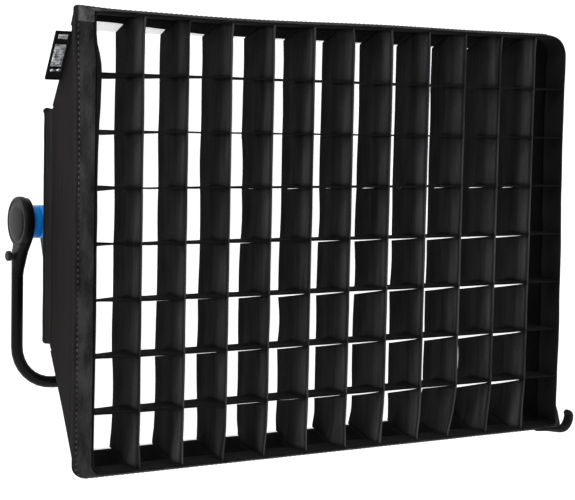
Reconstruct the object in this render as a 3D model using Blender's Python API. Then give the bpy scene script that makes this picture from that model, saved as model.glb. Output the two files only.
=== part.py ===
"""Rectangular fabric softbox with an egg-crate grid, worn on a panel lamp head in a U-yoke.

Frame: metres, +Z up.  The origin is the centre of the spigot's flat lower end face.
The grid faces -Y.  Depths below are measured back from the grid's front plane, heights
from the grid's centre, so P(x, depth, height) places a point in the frame.
"""
import math

import bmesh
import bpy
from mathutils import Vector

# ---- driving dimensions (metres) ------------------------------------------------------
FRONT_Y = -0.480          # grid front plane, as Y
GRID_Z = 0.385            # grid centre, as Z

CELL_X, CELL_Z = 0.0717, 0.0804
N_COLS, N_ROWS = 12, 8
GRID_HX, GRID_HZ = CELL_X * N_COLS / 2, CELL_Z * N_ROWS / 2
SLAT_T = 0.0012           # slat thickness
SLIT = 0.0009             # half width of the half-lap slits
V_DEPTH = 0.0926          # depth of the vertical slats
H_DEPTH = 0.0580          # depth of the horizontal slats
LAP = 0.0290              # depth at which the slits meet
BORDER_T = 0.0022

RIM_X, RIM_TOP, RIM_BOT = 0.4467, 0.3340, -0.3380     # widest outline of the rim
RIM_D = 0.0320            # depth of that outline
RIM_BACK = 0.0450
REAR_D = 0.3800           # rear end of the tapering walls
REAR_X, REAR_TOP, REAR_BOT = 0.3325, 0.1975, -0.2070
CORNER_R = {"tl": 0.022, "tr": 0.034, "bl": 0.034, "br": 0.026}
SKIN_T, LINER_OFF, LINER_T = 0.0020, 0.0050, 0.0010
GAP = 0.00035

COLLAR_D = 0.4160
COLLAR_X, COLLAR_TOP, COLLAR_BOT, COLLAR_T = 0.3322, 0.1890, -0.1970, 0.0022
BEZEL_X, BEZEL_TOP, BEZEL_BOT, BEZEL_W = 0.3294, 0.1862, -0.1942, 0.0200

PIVOT_D, PIVOT_H = 0.480, 0.001
HEAD_X = 0.285
ARM_X, ARM_R = 0.351, 0.010
ARM_TOP = -0.0900         # top of the bent tube
BAR_H = -0.275            # centre of the yoke's cross bar
BEND_R = 0.065
DISC_R, DISC_T, DISC_IN = 0.0410, 0.0180, 0.0093   # end plate: radius, thickness, inward offset
SPIGOT_R = 0.014

SX = (RIM_X - REAR_X) / (REAR_D - RIM_D)
ST = (RIM_TOP - REAR_TOP) / (REAR_D - RIM_D)
SB = (RIM_BOT - REAR_BOT) / (REAR_D - RIM_D)


def P(x, d, h):
    return Vector((x, FRONT_Y + d, GRID_Z + h))


PIVOT = P(0, PIVOT_D, PIVOT_H)
COLLAR_C = P(0, REAR_D, 0)
GRID_C = P(0, 0, 0)


def hx(d):
    return RIM_X - SX * (d - RIM_D)


def top(d):
    return RIM_TOP - ST * (d - RIM_D)


def bot(d):
    return RIM_BOT - SB * (d - RIM_D)


# ---- scene and materials --------------------------------------------------------------
for ob in list(bpy.data.objects):
    bpy.data.objects.remove(ob, do_unlink=True)

MATS = {}
for key, col, rough, metal in (
    ("black_fabric", (0.018, 0.018, 0.020), 0.92, 0.0),
    ("grid_fabric", (0.012, 0.012, 0.013), 0.90, 0.0),
    ("binding_tape", (0.030, 0.030, 0.033), 0.80, 0.0),
    ("silver_liner", (0.72, 0.73, 0.74), 0.38, 0.35),
    ("white_diffusion", (0.90, 0.90, 0.88), 0.75, 0.0),
    ("frame_aluminium", (0.55, 0.56, 0.58), 0.35, 1.0),
    ("fibreglass_rod", (0.10, 0.10, 0.11), 0.45, 0.0),
    ("yoke_paint", (0.035, 0.036, 0.040), 0.42, 0.6),
    ("bright_steel", (0.62, 0.63, 0.65), 0.25, 1.0),
    ("knob_rubber", (0.025, 0.025, 0.027), 0.70, 0.0),
    ("head_paint", (0.050, 0.052, 0.058), 0.50, 0.4),
    ("black_aluminium", (0.040, 0.041, 0.045), 0.45, 0.8),
    ("blue_plastic", (0.012, 0.160, 0.520), 0.32, 0.0),
    ("teal_black_plastic", (0.020, 0.045, 0.065), 0.50, 0.0),
    ("black_plastic", (0.022, 0.022, 0.024), 0.45, 0.0),
    ("led_white", (0.85, 0.85, 0.82), 0.50, 0.0),
    ("lens_opal", (0.92, 0.92, 0.92), 0.30, 0.0),
    ("clear_vinyl", (0.55, 0.56, 0.58), 0.20, 0.0),
):
    m = bpy.data.materials.new(key)
    m.use_nodes = True
    b = m.node_tree.nodes["Principled BSDF"]
    b.inputs["Base Color"].default_value = (*col, 1.0)
    b.inputs["Roughness"].default_value = rough
    b.inputs["Metallic"].default_value = metal
    m.diffuse_color = (*col, 1.0)
    m.roughness, m.metallic = rough, metal
    MATS[key] = m


def solid(name, part, mat, origin=None, smooth=False):
    """One named object out of one closed body, given as (vertices, faces)."""
    o = Vector((0, 0, 0)) if origin is None else Vector(origin)
    bm = bmesh.new()
    verts, faces = part
    vs = [bm.verts.new(Vector(v) - o) for v in verts]
    for f in faces:
        bm.faces.new([vs[i] for i in f])
    bmesh.ops.recalc_face_normals(bm, faces=bm.faces)
    bmesh.ops.triangulate(bm, faces=bm.faces, quad_method="BEAUTY", ngon_method="EAR_CLIP")
    me = bpy.data.meshes.new(name)
    bm.to_mesh(me)
    bm.free()
    me.materials.append(MATS[mat])
    if smooth:
        me.shade_smooth()
        me.set_sharp_from_angle(angle=math.radians(34))
    ob = bpy.data.objects.new(name, me)
    ob.location = o
    bpy.context.scene.collection.objects.link(ob)
    return ob


def prism(poly, axis, lo, hi):
    """Polygon swept along one axis.  axis x: (depth, height); y: (x, height); z: (x, depth)."""
    n, verts = len(poly), []
    for c in (lo, hi):
        for a, b in poly:
            verts.append({"x": P(c, a, b), "y": P(a, c, b), "z": P(a, b, c)}[axis])
    faces = [list(range(n))[::-1], list(range(n, 2 * n))]
    faces += [[i, (i + 1) % n, n + (i + 1) % n, n + i] for i in range(n)]
    return verts, faces


def box(x0, x1, d0, d1, h0, h1):
    return prism([(x0, h0), (x1, h0), (x1, h1), (x0, h1)], "y", d0, d1)


def loft(rings):
    """Closed skin through equal rings of points, flat at both ends."""
    n = len(rings[0])
    verts = [v for r in rings for v in r]
    faces = [list(range(n))[::-1], [(len(rings) - 1) * n + i for i in range(n)]]
    for k in range(len(rings) - 1):
        for i in range(n):
            j = (i + 1) % n
            faces.append([k * n + i, k * n + j, (k + 1) * n + j, (k + 1) * n + i])
    return verts, faces


def lathe(profile, centre, axis, segs=32):
    """profile: (distance along axis, radius) pairs, both ends capped flat."""
    u, v = {"x": (Vector((0, 1, 0)), Vector((0, 0, 1))),
            "y": (Vector((1, 0, 0)), Vector((0, 0, 1))),
            "z": (Vector((1, 0, 0)), Vector((0, 1, 0)))}[axis]
    w = {"x": Vector((1, 0, 0)), "y": Vector((0, 1, 0)), "z": Vector((0, 0, 1))}[axis]
    rings = []
    for a, r in profile:
        rings.append([Vector(centre) + w * a + u * (r * math.cos(2 * math.pi * i / segs))
                      + v * (r * math.sin(2 * math.pi * i / segs)) for i in range(segs)])
    return loft(rings)


def ring_body(frames):
    """Body that runs round an opening: frames are equal outlines, in order round its section."""
    n, m = len(frames[0]), len(frames)
    verts = [v for f in frames for v in f]
    faces = []
    for k in range(m):
        for i in range(n):
            j, q = (i + 1) % n, (k + 1) % m
            faces.append([k * n + i, k * n + j, q * n + j, q * n + i])
    return verts, faces


def rect(x, h0, h1, d, c=None):
    """Rectangle |X| <= x at one depth, its corners cut by c if given."""
    if c is None:
        return [P(-x, d, h0), P(x, d, h0), P(x, d, h1), P(-x, d, h1)]
    return [P(-x + c, d, h0), P(x - c, d, h0), P(x, d, h0 + c), P(x, d, h1 - c),
            P(x - c, d, h1), P(-x + c, d, h1), P(-x, d, h1 - c), P(-x, d, h0 + c)]


# ---- egg-crate grid -------------------------------------------------------------------
V_TOP, V_BOT = 0.3177, -0.3177
rows = [GRID_HZ - CELL_Z * j for j in range(1, N_ROWS)]
cols = [-GRID_HX + CELL_X * i for i in range(1, N_COLS)]


def v_outline():
    """Side view of a vertical slat: straight front edge, slit from the back at each row."""
    pts = [(0.0004, V_TOP), (0.0004, V_BOT), (0.0460, V_BOT), (V_DEPTH, -0.3030)]
    for h in sorted(rows):
        pts += [(V_DEPTH, h - SLIT), (LAP, h - SLIT), (LAP, h + SLIT), (V_DEPTH, h + SLIT)]
    return pts + [(V_DEPTH, 0.3010), (0.0460, V_TOP)]


def h_outline():
    """Plan view of a horizontal slat, slit from the front at each column."""
    x1 = GRID_HX - 0.0045
    pts = [(x1, H_DEPTH), (-x1, H_DEPTH), (-x1, 0.0004)]
    for x in cols:
        pts += [(x - SLIT, 0.0004), (x - SLIT, LAP + GAP), (x + SLIT, LAP + GAP), (x + SLIT, 0.0004)]
    return pts + [(x1, 0.0004)]


for i, x in enumerate(cols):
    solid("slat_vertical_%02d" % (i + 1), prism(v_outline(), "x", x - SLAT_T / 2, x + SLAT_T / 2), "grid_fabric",
          GRID_C)
for j, h in enumerate(rows):
    solid("slat_level_%02d" % (j + 1), prism(h_outline(), "z", h - SLAT_T / 2, h + SLAT_T / 2), "grid_fabric",
          GRID_C)
bx0, bx1 = GRID_HX - 0.0040, GRID_HX - 0.0040 + BORDER_T
bz0, bz1 = 0.3181, 0.3202
side_b = [(0.0004, -bz1), (0.0460, -bz1), (0.0580, -0.3150), (0.0580, 0.3110), (0.0460, bz1), (0.0004, bz1)]
solid("grid_border_left", prism(side_b, "x", -bx1, -bx0), "binding_tape", GRID_C)
solid("grid_border_right", prism(side_b, "x", bx0, bx1), "binding_tape", GRID_C)
solid("grid_border_top", box(-bx0 + GAP, bx0 - GAP, 0.0004, 0.0460, bz0, bz1), "binding_tape", GRID_C)
solid("grid_border_bottom", box(-bx0 + GAP, bx0 - GAP, 0.0004, 0.0460, -bz1, -bz0), "binding_tape", GRID_C)

# ---- padded rim ------------------------------------------------------------------------
RIM_WIDTH = {"x": RIM_X - GRID_HX, "t": RIM_TOP - GRID_HZ, "b": -RIM_BOT - GRID_HZ}
RIM_W = RIM_WIDTH["x"]


def rim_section(w):
    """(outward, depth) section of the padded hem."""
    k = w / RIM_W
    return [(0.0, 0.0045), (0.0043 * k, 0.0056), (0.0128 * k, 0.0200), (w, RIM_D),
            (w - SX * (RIM_BACK - RIM_D), RIM_BACK), (0.0, RIM_BACK)]


def rim_corner(key):
    """Sections from the side's end (level) to the top or bottom's end (upright)."""
    sx, sz = (1 if key[1] == "r" else -1), (1 if key[0] == "t" else -1)
    r = CORNER_R[key]
    cx, cz = RIM_X - r, (RIM_TOP if sz > 0 else -RIM_BOT) - r
    ex, ez = GRID_HX - cx, GRID_HZ - cz
    angles = sorted([math.radians(a) for a in (0, 13, 26, 64, 77, 90)] + [math.atan2(ez, ex)])
    rings = []
    for a in angles:
        ca, sa = math.cos(a), math.sin(a)
        t = min(ex / ca if ca > 1e-6 else 9, ez / sa if sa > 1e-6 else 9)
        ring = []
        for o, d in rim_section(RIM_W):
            q = t + (r - t) * o / RIM_W
            ring.append(P(sx * (cx + q * ca), d, sz * (cz + q * sa)))
        rings.append(ring)
    return rings


def rim_side(sign):
    """Left or right hem with both of its corners."""
    c = "l" if sign < 0 else "r"
    return loft(rim_corner("b" + c)[::-1] + rim_corner("t" + c))


def rim_level(sign):
    row = "t" if sign > 0 else "b"
    lo = -RIM_X + CORNER_R[row + "l"] + GAP
    hi = RIM_X - CORNER_R[row + "r"] - GAP
    return prism([(d, sign * (GRID_HZ + o)) for o, d in rim_section(RIM_WIDTH[row])], "x", lo, hi)


solid("rim_left", rim_side(-1), "binding_tape", COLLAR_C)
solid("rim_right", rim_side(1), "binding_tape", COLLAR_C)
solid("rim_top", rim_level(1), "binding_tape", COLLAR_C)
solid("rim_bottom", rim_level(-1), "binding_tape", COLLAR_C)

# ---- tapering walls -------------------------------------------------------------------
D1, D2, R2 = RIM_BACK + 0.0005, REAR_D, 0.0040


def corner_r(key, d):
    """Corner radius of the walls, closing towards the rear."""
    f = (d - D1) / (D2 - D1)
    return (CORNER_R[key] - 0.003) * (1 - f) + R2 * f


def wall_level(sign):
    """Top or bottom wall, between the rounded corners."""
    row, rings = ("t" if sign > 0 else "b"), []
    for d in (D1, D2):
        h = top(d) if sign > 0 else bot(d)
        lo = -hx(d) + corner_r(row + "l", d) + GAP
        hi = hx(d) - corner_r(row + "r", d) - GAP
        rings.append([P(lo, d, h), P(hi, d, h), P(hi, d, h - sign * SKIN_T), P(lo, d, h - sign * SKIN_T)])
    return loft(rings)


def wall_corner(key, n=6):
    sx, sz = (1 if key[1] == "r" else -1), (1 if key[0] == "t" else -1)
    rings = []
    for i in range(n + 1):
        a = math.radians(90 * i / n)
        ring = []
        for d, rr in ((D1, 0), (D2, 0), (D2, SKIN_T), (D1, SKIN_T)):
            r = corner_r(key, d)
            cx, cz = hx(d) - r, (top(d) if sz > 0 else -bot(d)) - r
            ring.append(P(sx * (cx + (r - rr) * math.cos(a)), d, sz * (cz + (r - rr) * math.sin(a))))
        rings.append(ring)
    return rings


def wall_side(sign):
    """Left or right wall with both of its rounded corners."""
    c = "l" if sign < 0 else "r"
    return loft(wall_corner("b" + c)[::-1] + wall_corner("t" + c))


solid("skin_left", wall_side(-1), "black_fabric", COLLAR_C)
solid("skin_right", wall_side(1), "black_fabric", COLLAR_C)
solid("skin_top", wall_level(1), "black_fabric", COLLAR_C)
solid("skin_bottom", wall_level(-1), "black_fabric", COLLAR_C)

LD1, LD2 = 0.0600, 0.3720


def liner_frame(d, off):
    c = 0.030 - 0.024 * (d - LD1) / (LD2 - LD1)
    return rect(hx(d) - off, bot(d) + off, top(d) - off, d, c)


solid("reflective_liner", ring_body([liner_frame(LD1, LINER_OFF), liner_frame(LD2, LINER_OFF),
                                     liner_frame(LD2, LINER_OFF + LINER_T), liner_frame(LD1, LINER_OFF + LINER_T)]),
      "silver_liner", COLLAR_C)


def strut(key):
    sx, sz = (1 if key[1] == "r" else -1), (1 if key[0] == "t" else -1)
    rings = []
    for d, inset in ((0.0600, 0.0260), (0.3740, 0.0140)):
        c = P(sx * (hx(d) - inset), d, (top(d) - inset) if sz > 0 else (bot(d) + inset))
        rings.append([c + Vector((0.0035 * math.cos(2 * math.pi * i / 12), 0, 0.0035 * math.sin(2 * math.pi * i / 12)))
                      for i in range(12)])
    return loft(rings)


for key, label in (("tl", "top_left"), ("tr", "top_right"), ("bl", "bottom_left"), ("br", "bottom_right")):
    solid("strut_" + label, strut(key), "fibreglass_rod", COLLAR_C, smooth=True)


def cut_sheet(x, lo, hi, cut, d0, d1):
    """Thin sheet with its four corners cut off to clear the struts."""
    return prism([(-x + cut, lo), (x - cut, lo), (x, lo + cut), (x, hi - cut),
                  (x - cut, hi), (-x + cut, hi), (-x, hi - cut), (-x, lo + cut)], "y", d0, d1)


solid("front_diffuser", cut_sheet(0.4185, -0.3070, 0.3020, 0.045, 0.0945, 0.0955), "white_diffusion", COLLAR_C)
solid("inner_baffle", cut_sheet(0.3655, -0.2460, 0.2395, 0.030, 0.2500, 0.2510), "white_diffusion", COLLAR_C)

# ---- rear collar ----------------------------------------------------------------------
CD0 = REAR_D + 0.0006
ci, co = COLLAR_X - COLLAR_T, COLLAR_X
solid("collar", ring_body([
    rect(ci, COLLAR_BOT + COLLAR_T, COLLAR_TOP - COLLAR_T, CD0),
    rect(REAR_X, REAR_BOT + 0.0003, REAR_TOP - 0.0003, CD0),
    rect(REAR_X, REAR_BOT + 0.0003, REAR_TOP - 0.0003, CD0 + 0.0040),
    rect(co, COLLAR_BOT, COLLAR_TOP, CD0 + 0.0052),
    rect(co, COLLAR_BOT, COLLAR_TOP, COLLAR_D),
    rect(ci, COLLAR_BOT + COLLAR_T, COLLAR_TOP - COLLAR_T, COLLAR_D)]), "binding_tape", COLLAR_C)

# ---- small sewn pieces ----------------------------------------------------------------
# clear-fronted card pocket sewn into the upper left seam; it lies in the top wall's plane and
# stands out past the corner, its window underneath
PK0, PK1, PKW = 0.110, 0.275, 0.0250


def pocket_plate(d0, d1, x0, x1, h0, h1):
    """Plate under the top wall's plane: x0 to x1 outward of the corner, h0 to h1 below it."""
    return loft([[P(-hx(d) - x0, d, top(d) - h0), P(-hx(d) - x1, d, top(d) - h0),
                  P(-hx(d) - x1, d, top(d) - h1), P(-hx(d) - x0, d, top(d) - h1)] for d in (d0, d1)])


solid("card_pocket_back", pocket_plate(PK0, PK1, 0.0006, PKW, 0.0002, 0.0020), "binding_tape", COLLAR_C)
solid("card_pocket_window", pocket_plate(PK0 + 0.012, PK1 - 0.030, 0.0050, PKW - 0.0035, 0.0023, 0.0029),
      "clear_vinyl", COLLAR_C)

# pull tab curling off the lower right corner
TAB = ((0.4100, -0.3400), (0.4300, -0.3400), (0.4440, -0.3397), (0.4530, -0.3375), (0.4595, -0.3325),
       (0.4630, -0.3255), (0.4640, -0.3175), (0.4625, -0.3120))


def tab_ring():
    outer, inner = [], []
    for i, (x, h) in enumerate(TAB):
        a = TAB[max(i - 1, 0)]
        b = TAB[min(i + 1, len(TAB) - 1)]
        tx, th = b[0] - a[0], b[1] - a[1]
        n = math.hypot(tx, th)
        outer.append((x + 0.0014 * th / n, h - 0.0014 * tx / n))
        inner.append((x - 0.0014 * th / n, h + 0.0014 * tx / n))
    return outer + inner[::-1]


solid("corner_pull_tab", prism(tab_ring(), "y", 0.0090, 0.0290), "binding_tape", COLLAR_C)

# ---- lamp head ------------------------------------------------------------------------
BD0, BD1 = 0.3812, 0.4160
bi = BEZEL_X - BEZEL_W
bz = (BEZEL_BOT + BEZEL_W, BEZEL_TOP - BEZEL_W)
solid("accessory_bezel", ring_body([rect(bi, *bz, BD0), rect(BEZEL_X, BEZEL_BOT, BEZEL_TOP, BD0),
                                    rect(BEZEL_X, BEZEL_BOT, BEZEL_TOP, BD1), rect(bi, *bz, BD1)]),
      "black_aluminium", PIVOT)
solid("lamp_lens", box(-bi + GAP, bi - GAP, 0.3850, 0.3880, bz[0] + GAP, bz[1] - GAP), "lens_opal", PIVOT)

HH0, HH1 = -0.166, 0.158


def shell():
    """Pressed housing, open at the front: outside and inside as outlines at growing depth."""
    out = [(0.4164, 0.0), (0.5050, 0.0), (0.5200, 0.0150), (0.5260, 0.0240)]
    ins = [(0.5235, 0.0250), (0.5182, 0.0168), (0.5038, 0.0025), (0.4164, 0.0025)]
    frames = [rect(HEAD_X - k, HH0 + k * 0.6, HH1 - k * 0.6, d, 0.010) for d, k in out + ins]
    n, verts, faces = 8, [v for f in frames for v in f], []
    for q in range(len(frames) - 1):
        if q == len(out) - 1:
            faces += [[q * n + i for i in range(n)], [(q + 1) * n + i for i in range(n)][::-1]]
            continue
        for i in range(n):
            t = (i + 1) % n
            faces.append([q * n + i, q * n + t, (q + 1) * n + t, (q + 1) * n + i])
    last = (len(frames) - 1) * n
    faces += [[i, last + i, last + (i + 1) % n, (i + 1) % n] for i in range(n)]
    return verts, faces


solid("lamp_housing", shell(), "head_paint", PIVOT, smooth=True)


def finned_plate():
    """Comb seen from above: fins each side of a plain middle for the control panel."""
    pts = [(-0.240, 0.5263), (0.240, 0.5263)]
    step = 0.0156
    for k in range(11):
        a = 0.240 - k * step
        pts += [(a, 0.5540), (a - 0.004, 0.5540), (a - 0.004, 0.5312)]
        pts += [(a - step, 0.5312)] if k < 10 else []
    for k in range(11):
        a = -0.240 + (10 - k) * step
        pts += [(a + 0.004, 0.5312), (a + 0.004, 0.5540), (a, 0.5540)]
        pts += [(a, 0.5312)] if k < 10 else []
    return prism(pts, "z", -0.148, 0.140)


solid("heat_sink", finned_plate(), "black_aluminium", PIVOT)
PANEL_D = 0.5460
solid("control_panel", box(-0.068, 0.068, 0.5316, PANEL_D, -0.140, 0.060), "black_plastic", PIVOT)
solid("power_inlet", lathe([(0, 0.016), (0.012, 0.016), (0.014, 0.0145)], P(0.030, PANEL_D + 0.0003, -0.095), "y", 24),
      "black_plastic", PIVOT, smooth=True)


def dial(name, x, h):
    c = P(x, PANEL_D + 0.0003, h)
    solid(name, lathe([(0, 0.0120), (0.0020, 0.0120), (0.0024, 0.0105), (0.0150, 0.0098), (0.0162, 0.0086)],
                      c, "y", 24), "knob_rubber", c, smooth=True)


dial("dial_upper", -0.035, 0.020)
dial("dial_lower", -0.035, -0.030)

# ---- tilt pivots ----------------------------------------------------------------------
DISC_FACE = ARM_X - DISC_IN - DISC_T / 2          # inner face of the yoke's end plate
for label, s in (("left", -1), ("right", 1)):
    a, b = sorted((s * (HEAD_X + 0.0004), s * 0.3100))
    br = [(0.446, -0.062), (0.456, -0.074), (0.504, -0.074), (0.514, -0.062), (0.514, 0.028), (0.504, 0.040),
          (0.456, 0.040), (0.446, 0.028)]
    solid("tilt_bracket_" + label, prism(br, "x", a, b), "teal_black_plastic", PIVOT)
    prof = [(0.3104, 0.0300), (0.3124, 0.0300), (0.3136, 0.0280), (0.3310, 0.0280), (DISC_FACE - 0.0004, 0.0270)]
    solid("pivot_boss_" + label, lathe([(s * x, r) for x, r in prof], P(0, PIVOT_D, PIVOT_H), "x", 40),
          "blue_plastic", PIVOT, smooth=True)


# ---- yoke -----------------------------------------------------------------------------
def yoke_end(s, n=28):
    """Round end plate that draws down into the arm's tube: level sections, bottom to top."""
    # height, inward offset, half thickness, half depth, squareness
    secs = [(ARM_TOP + GAP, 0.0, ARM_R, ARM_R, 2.0), (-0.0800, 0.0006, 0.0104, 0.0112, 2.0),
            (-0.0660, 0.0022, 0.0114, 0.0145, 2.2), (-0.0500, 0.0042, 0.0116, 0.0190, 2.4),
            (-0.0410, 0.0066, 0.0108, 0.0232, 2.6), (-0.0330, 0.0084, 0.0098, 0.0270, 3.0)]
    for dh in (-0.0260, -0.0160, -0.0060, 0.0040, 0.0140, 0.0230, 0.0300, 0.0350, 0.0382, 0.0402):
        edge = min(1.0, (DISC_R - dh) / 0.006)
        secs.append((PIVOT_H + dh, DISC_IN, DISC_T / 2 * (0.70 + 0.30 * math.sqrt(edge)),
                     math.sqrt(DISC_R ** 2 - dh ** 2), 3.6))
    rings = []
    for h, off, t, w, p in secs:
        ring = []
        for i in range(n):
            a = 2 * math.pi * i / n
            ca, sa = math.cos(a), math.sin(a)
            ring.append(P(s * (ARM_X - off + t * math.copysign(abs(ca) ** (2 / p), ca)),
                          PIVOT_D + w * math.copysign(abs(sa) ** (2 / p), sa), h))
        rings.append(ring)
    return loft(rings)


def yoke_tube(n=24):
    """Round tube: down one arm, across and up the other."""
    half = [(-ARM_X, ARM_TOP, 1.0, 0.0)]
    for i in range(9):
        a = math.radians(90 * i / 8)
        half.append((-ARM_X + BEND_R * (1 - math.cos(a)), BAR_H + BEND_R * (1 - math.sin(a)), math.cos(a), math.sin(a)))
    full = half + [(-x, h, -ox, oh) for x, h, ox, oh in half[::-1]]
    return loft([[P(x, PIVOT_D, h) + Vector((ox, 0, oh)) * (ARM_R * math.cos(2 * math.pi * i / n))
                  + Vector((0, ARM_R * math.sin(2 * math.pi * i / n), 0)) for i in range(n)]
                 for x, h, ox, oh in full])


solid("yoke_tube", yoke_tube(), "yoke_paint", smooth=True)
for label, s in (("left", -1), ("right", 1)):
    solid("yoke_end_" + label, yoke_end(s), "yoke_paint", smooth=True)
    kc = P(s * (ARM_X + ARM_R + 0.0004), PIVOT_D, -0.0560)
    knob = [(0.0, 0.0062), (0.0022, 0.0062), (0.0026, 0.0086), (0.0078, 0.0086), (0.0094, 0.0068)]
    solid("arm_knob_" + label, lathe([(s * x, r) for x, r in knob], kc, "x", 20), "knob_rubber", kc, smooth=True)


def half_round(n=12, r=ARM_R + 0.0004):
    return [(r * math.cos(math.pi * i / n), r * math.sin(math.pi * i / n)) for i in range(n + 1)]


base = [(-0.024, -0.0240), (0.024, -0.0240), (0.024, 0.0)] + [(y, -z) for y, z in half_round()] + [(-0.024, 0.0)]
solid("yoke_base", prism([(PIVOT_D + y, BAR_H + z) for y, z in base], "x", -0.045, 0.045), "yoke_paint")
sp = [(0.0, SPIGOT_R - 0.0015), (0.0015, SPIGOT_R), (0.0380, SPIGOT_R), (0.0400, SPIGOT_R - 0.0025),
      (0.0540, SPIGOT_R - 0.0025), (0.0560, SPIGOT_R), (0.0800, SPIGOT_R), (0.0800, 0.0210), (0.0857, 0.0210)]
solid("spigot", lathe(sp, (0, 0, 0), "z", 32), "bright_steel", smooth=True)
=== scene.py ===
"""Looks for the fabric softbox on its panel lamp and U-yoke."""

import math
import random

import bmesh
import bpy
from mathutils import Matrix, Vector, noise


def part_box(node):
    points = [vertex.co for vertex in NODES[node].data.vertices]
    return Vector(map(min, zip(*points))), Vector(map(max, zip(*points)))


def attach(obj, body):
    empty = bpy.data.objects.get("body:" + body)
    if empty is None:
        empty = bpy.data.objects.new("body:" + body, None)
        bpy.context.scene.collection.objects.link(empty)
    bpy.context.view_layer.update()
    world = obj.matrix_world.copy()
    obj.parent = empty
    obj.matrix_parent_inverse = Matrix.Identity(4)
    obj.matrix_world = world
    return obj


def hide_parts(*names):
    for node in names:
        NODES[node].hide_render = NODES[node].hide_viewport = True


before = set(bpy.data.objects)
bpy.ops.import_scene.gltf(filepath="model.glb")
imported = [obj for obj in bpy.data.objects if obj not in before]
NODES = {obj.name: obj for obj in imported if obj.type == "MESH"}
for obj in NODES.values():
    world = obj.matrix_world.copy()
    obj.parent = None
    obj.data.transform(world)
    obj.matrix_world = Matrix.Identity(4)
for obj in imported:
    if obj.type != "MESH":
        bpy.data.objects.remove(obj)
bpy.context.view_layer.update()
random.seed(41)

# ---- the part's own dimensions --------------------------------------------------------
FRONT_Y, GRID_Z = -0.480, 0.385
CELL_X, CELL_Z, N_COLS, N_ROWS = 0.0717, 0.0804, 12, 8
GRID_HX, GRID_HZ = CELL_X * N_COLS / 2, CELL_Z * N_ROWS / 2
V_DEPTH, H_DEPTH = 0.0926, 0.0580
RIM_X, RIM_TOP, RIM_BOT, RIM_D, RIM_BACK = 0.4467, 0.3340, -0.3380, 0.0320, 0.0450
REAR_D, REAR_X, REAR_TOP, REAR_BOT = 0.3800, 0.3325, 0.1975, -0.2070
COLLAR_D, COLLAR_X, COLLAR_TOP, COLLAR_BOT = 0.4160, 0.3322, 0.1890, -0.1970
SX = (RIM_X - REAR_X) / (REAR_D - RIM_D)
ST = (RIM_TOP - REAR_TOP) / (REAR_D - RIM_D)
SB = (RIM_BOT - REAR_BOT) / (REAR_D - RIM_D)


def P(x, d, h):
    return Vector((x, FRONT_Y + d, GRID_Z + h))


def hx(d):
    return RIM_X - SX * (d - RIM_D)


def top(d):
    return RIM_TOP - ST * (d - RIM_D)


def bot(d):
    return RIM_BOT - SB * (d - RIM_D)


def nz(x, y, z, s=1.0):
    """Smooth noise from -1 to 1."""
    return noise.noise(Vector((x * s, y * s, z * s)))


def smooth(t):
    t = min(max(t, 0.0), 1.0)
    return t * t * (3 - 2 * t)


# ---- camera ---------------------------------------------------------------------------
scene = bpy.context.scene
YAW, PITCH, ROLL = 0.5557, -0.0811, 0.0208
fwd = Vector((math.sin(YAW) * math.cos(PITCH), math.cos(YAW) * math.cos(PITCH), math.sin(PITCH)))
right = Vector((math.cos(YAW), -math.sin(YAW), 0))
up = right.cross(fwd)
r2 = math.cos(ROLL) * right + math.sin(ROLL) * up
u2 = -math.sin(ROLL) * right + math.cos(ROLL) * up
cam = bpy.data.objects.new("camera", bpy.data.cameras.new("camera"))
scene.collection.objects.link(cam)
m3 = Matrix((r2, u2, -fwd)).transposed()
cam.matrix_world = Matrix.Translation((-1.3905, -2.0554 + FRONT_Y, 0.1827 + GRID_Z)) @ m3.to_4x4()
cam.data.sensor_width = 36.0
cam.data.lens = 1610.69 / 575 * 36.0
cam.data.clip_end = 60
scene.camera = cam


# ---- materials ------------------------------------------------------------------------
def new_mat(name):
    m = bpy.data.materials.new(name)
    m.use_nodes = True
    return m, m.node_tree, m.node_tree.nodes["Principled BSDF"]


def node(nt, kind, **kw):
    n = nt.nodes.new(kind)
    for k, v in kw.items():
        if k.startswith("i_"):
            n.inputs[int(k[2:])].default_value = v
        elif hasattr(n, k):
            setattr(n, k, v)
        else:
            n.inputs[k.replace("_", " ")].default_value = v
    return n


def math_node(nt, op, a, b=None):
    n = nt.nodes.new("ShaderNodeMath")
    n.operation = op
    for i, v in enumerate((a, b)):
        if v is None:
            continue
        if isinstance(v, (int, float)):
            n.inputs[i].default_value = v
        else:
            nt.links.new(v, n.inputs[i])
    return n.outputs[0]


def ramp(nt, fac, stops):
    n = nt.nodes.new("ShaderNodeValToRGB")
    nt.links.new(fac, n.inputs[0])
    e = n.color_ramp.elements
    while len(e) < len(stops):
        e.new(0.5)
    for el, (p, c) in zip(e, stops):
        el.position = p
        el.color = (*c, 1) if len(c) == 3 else (c[0], c[0], c[0], 1)
    return n.outputs[0]


def weave(nt, period, axes="xz"):
    """Plain-weave height from two sets of threads across the named axes."""
    tc = nt.nodes.new("ShaderNodeTexCoord")
    sep = nt.nodes.new("ShaderNodeSeparateXYZ")
    nt.links.new(tc.outputs["Object"], sep.inputs[0])
    k = 2 * math.pi / period
    out = []
    for a in axes:
        c = sep.outputs["xyz".index(a)]
        out.append(math_node(nt, "SINE", math_node(nt, "MULTIPLY", c, k)))
    h = math_node(nt, "MULTIPLY", out[0], out[1])
    return tc, sep, h


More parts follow.
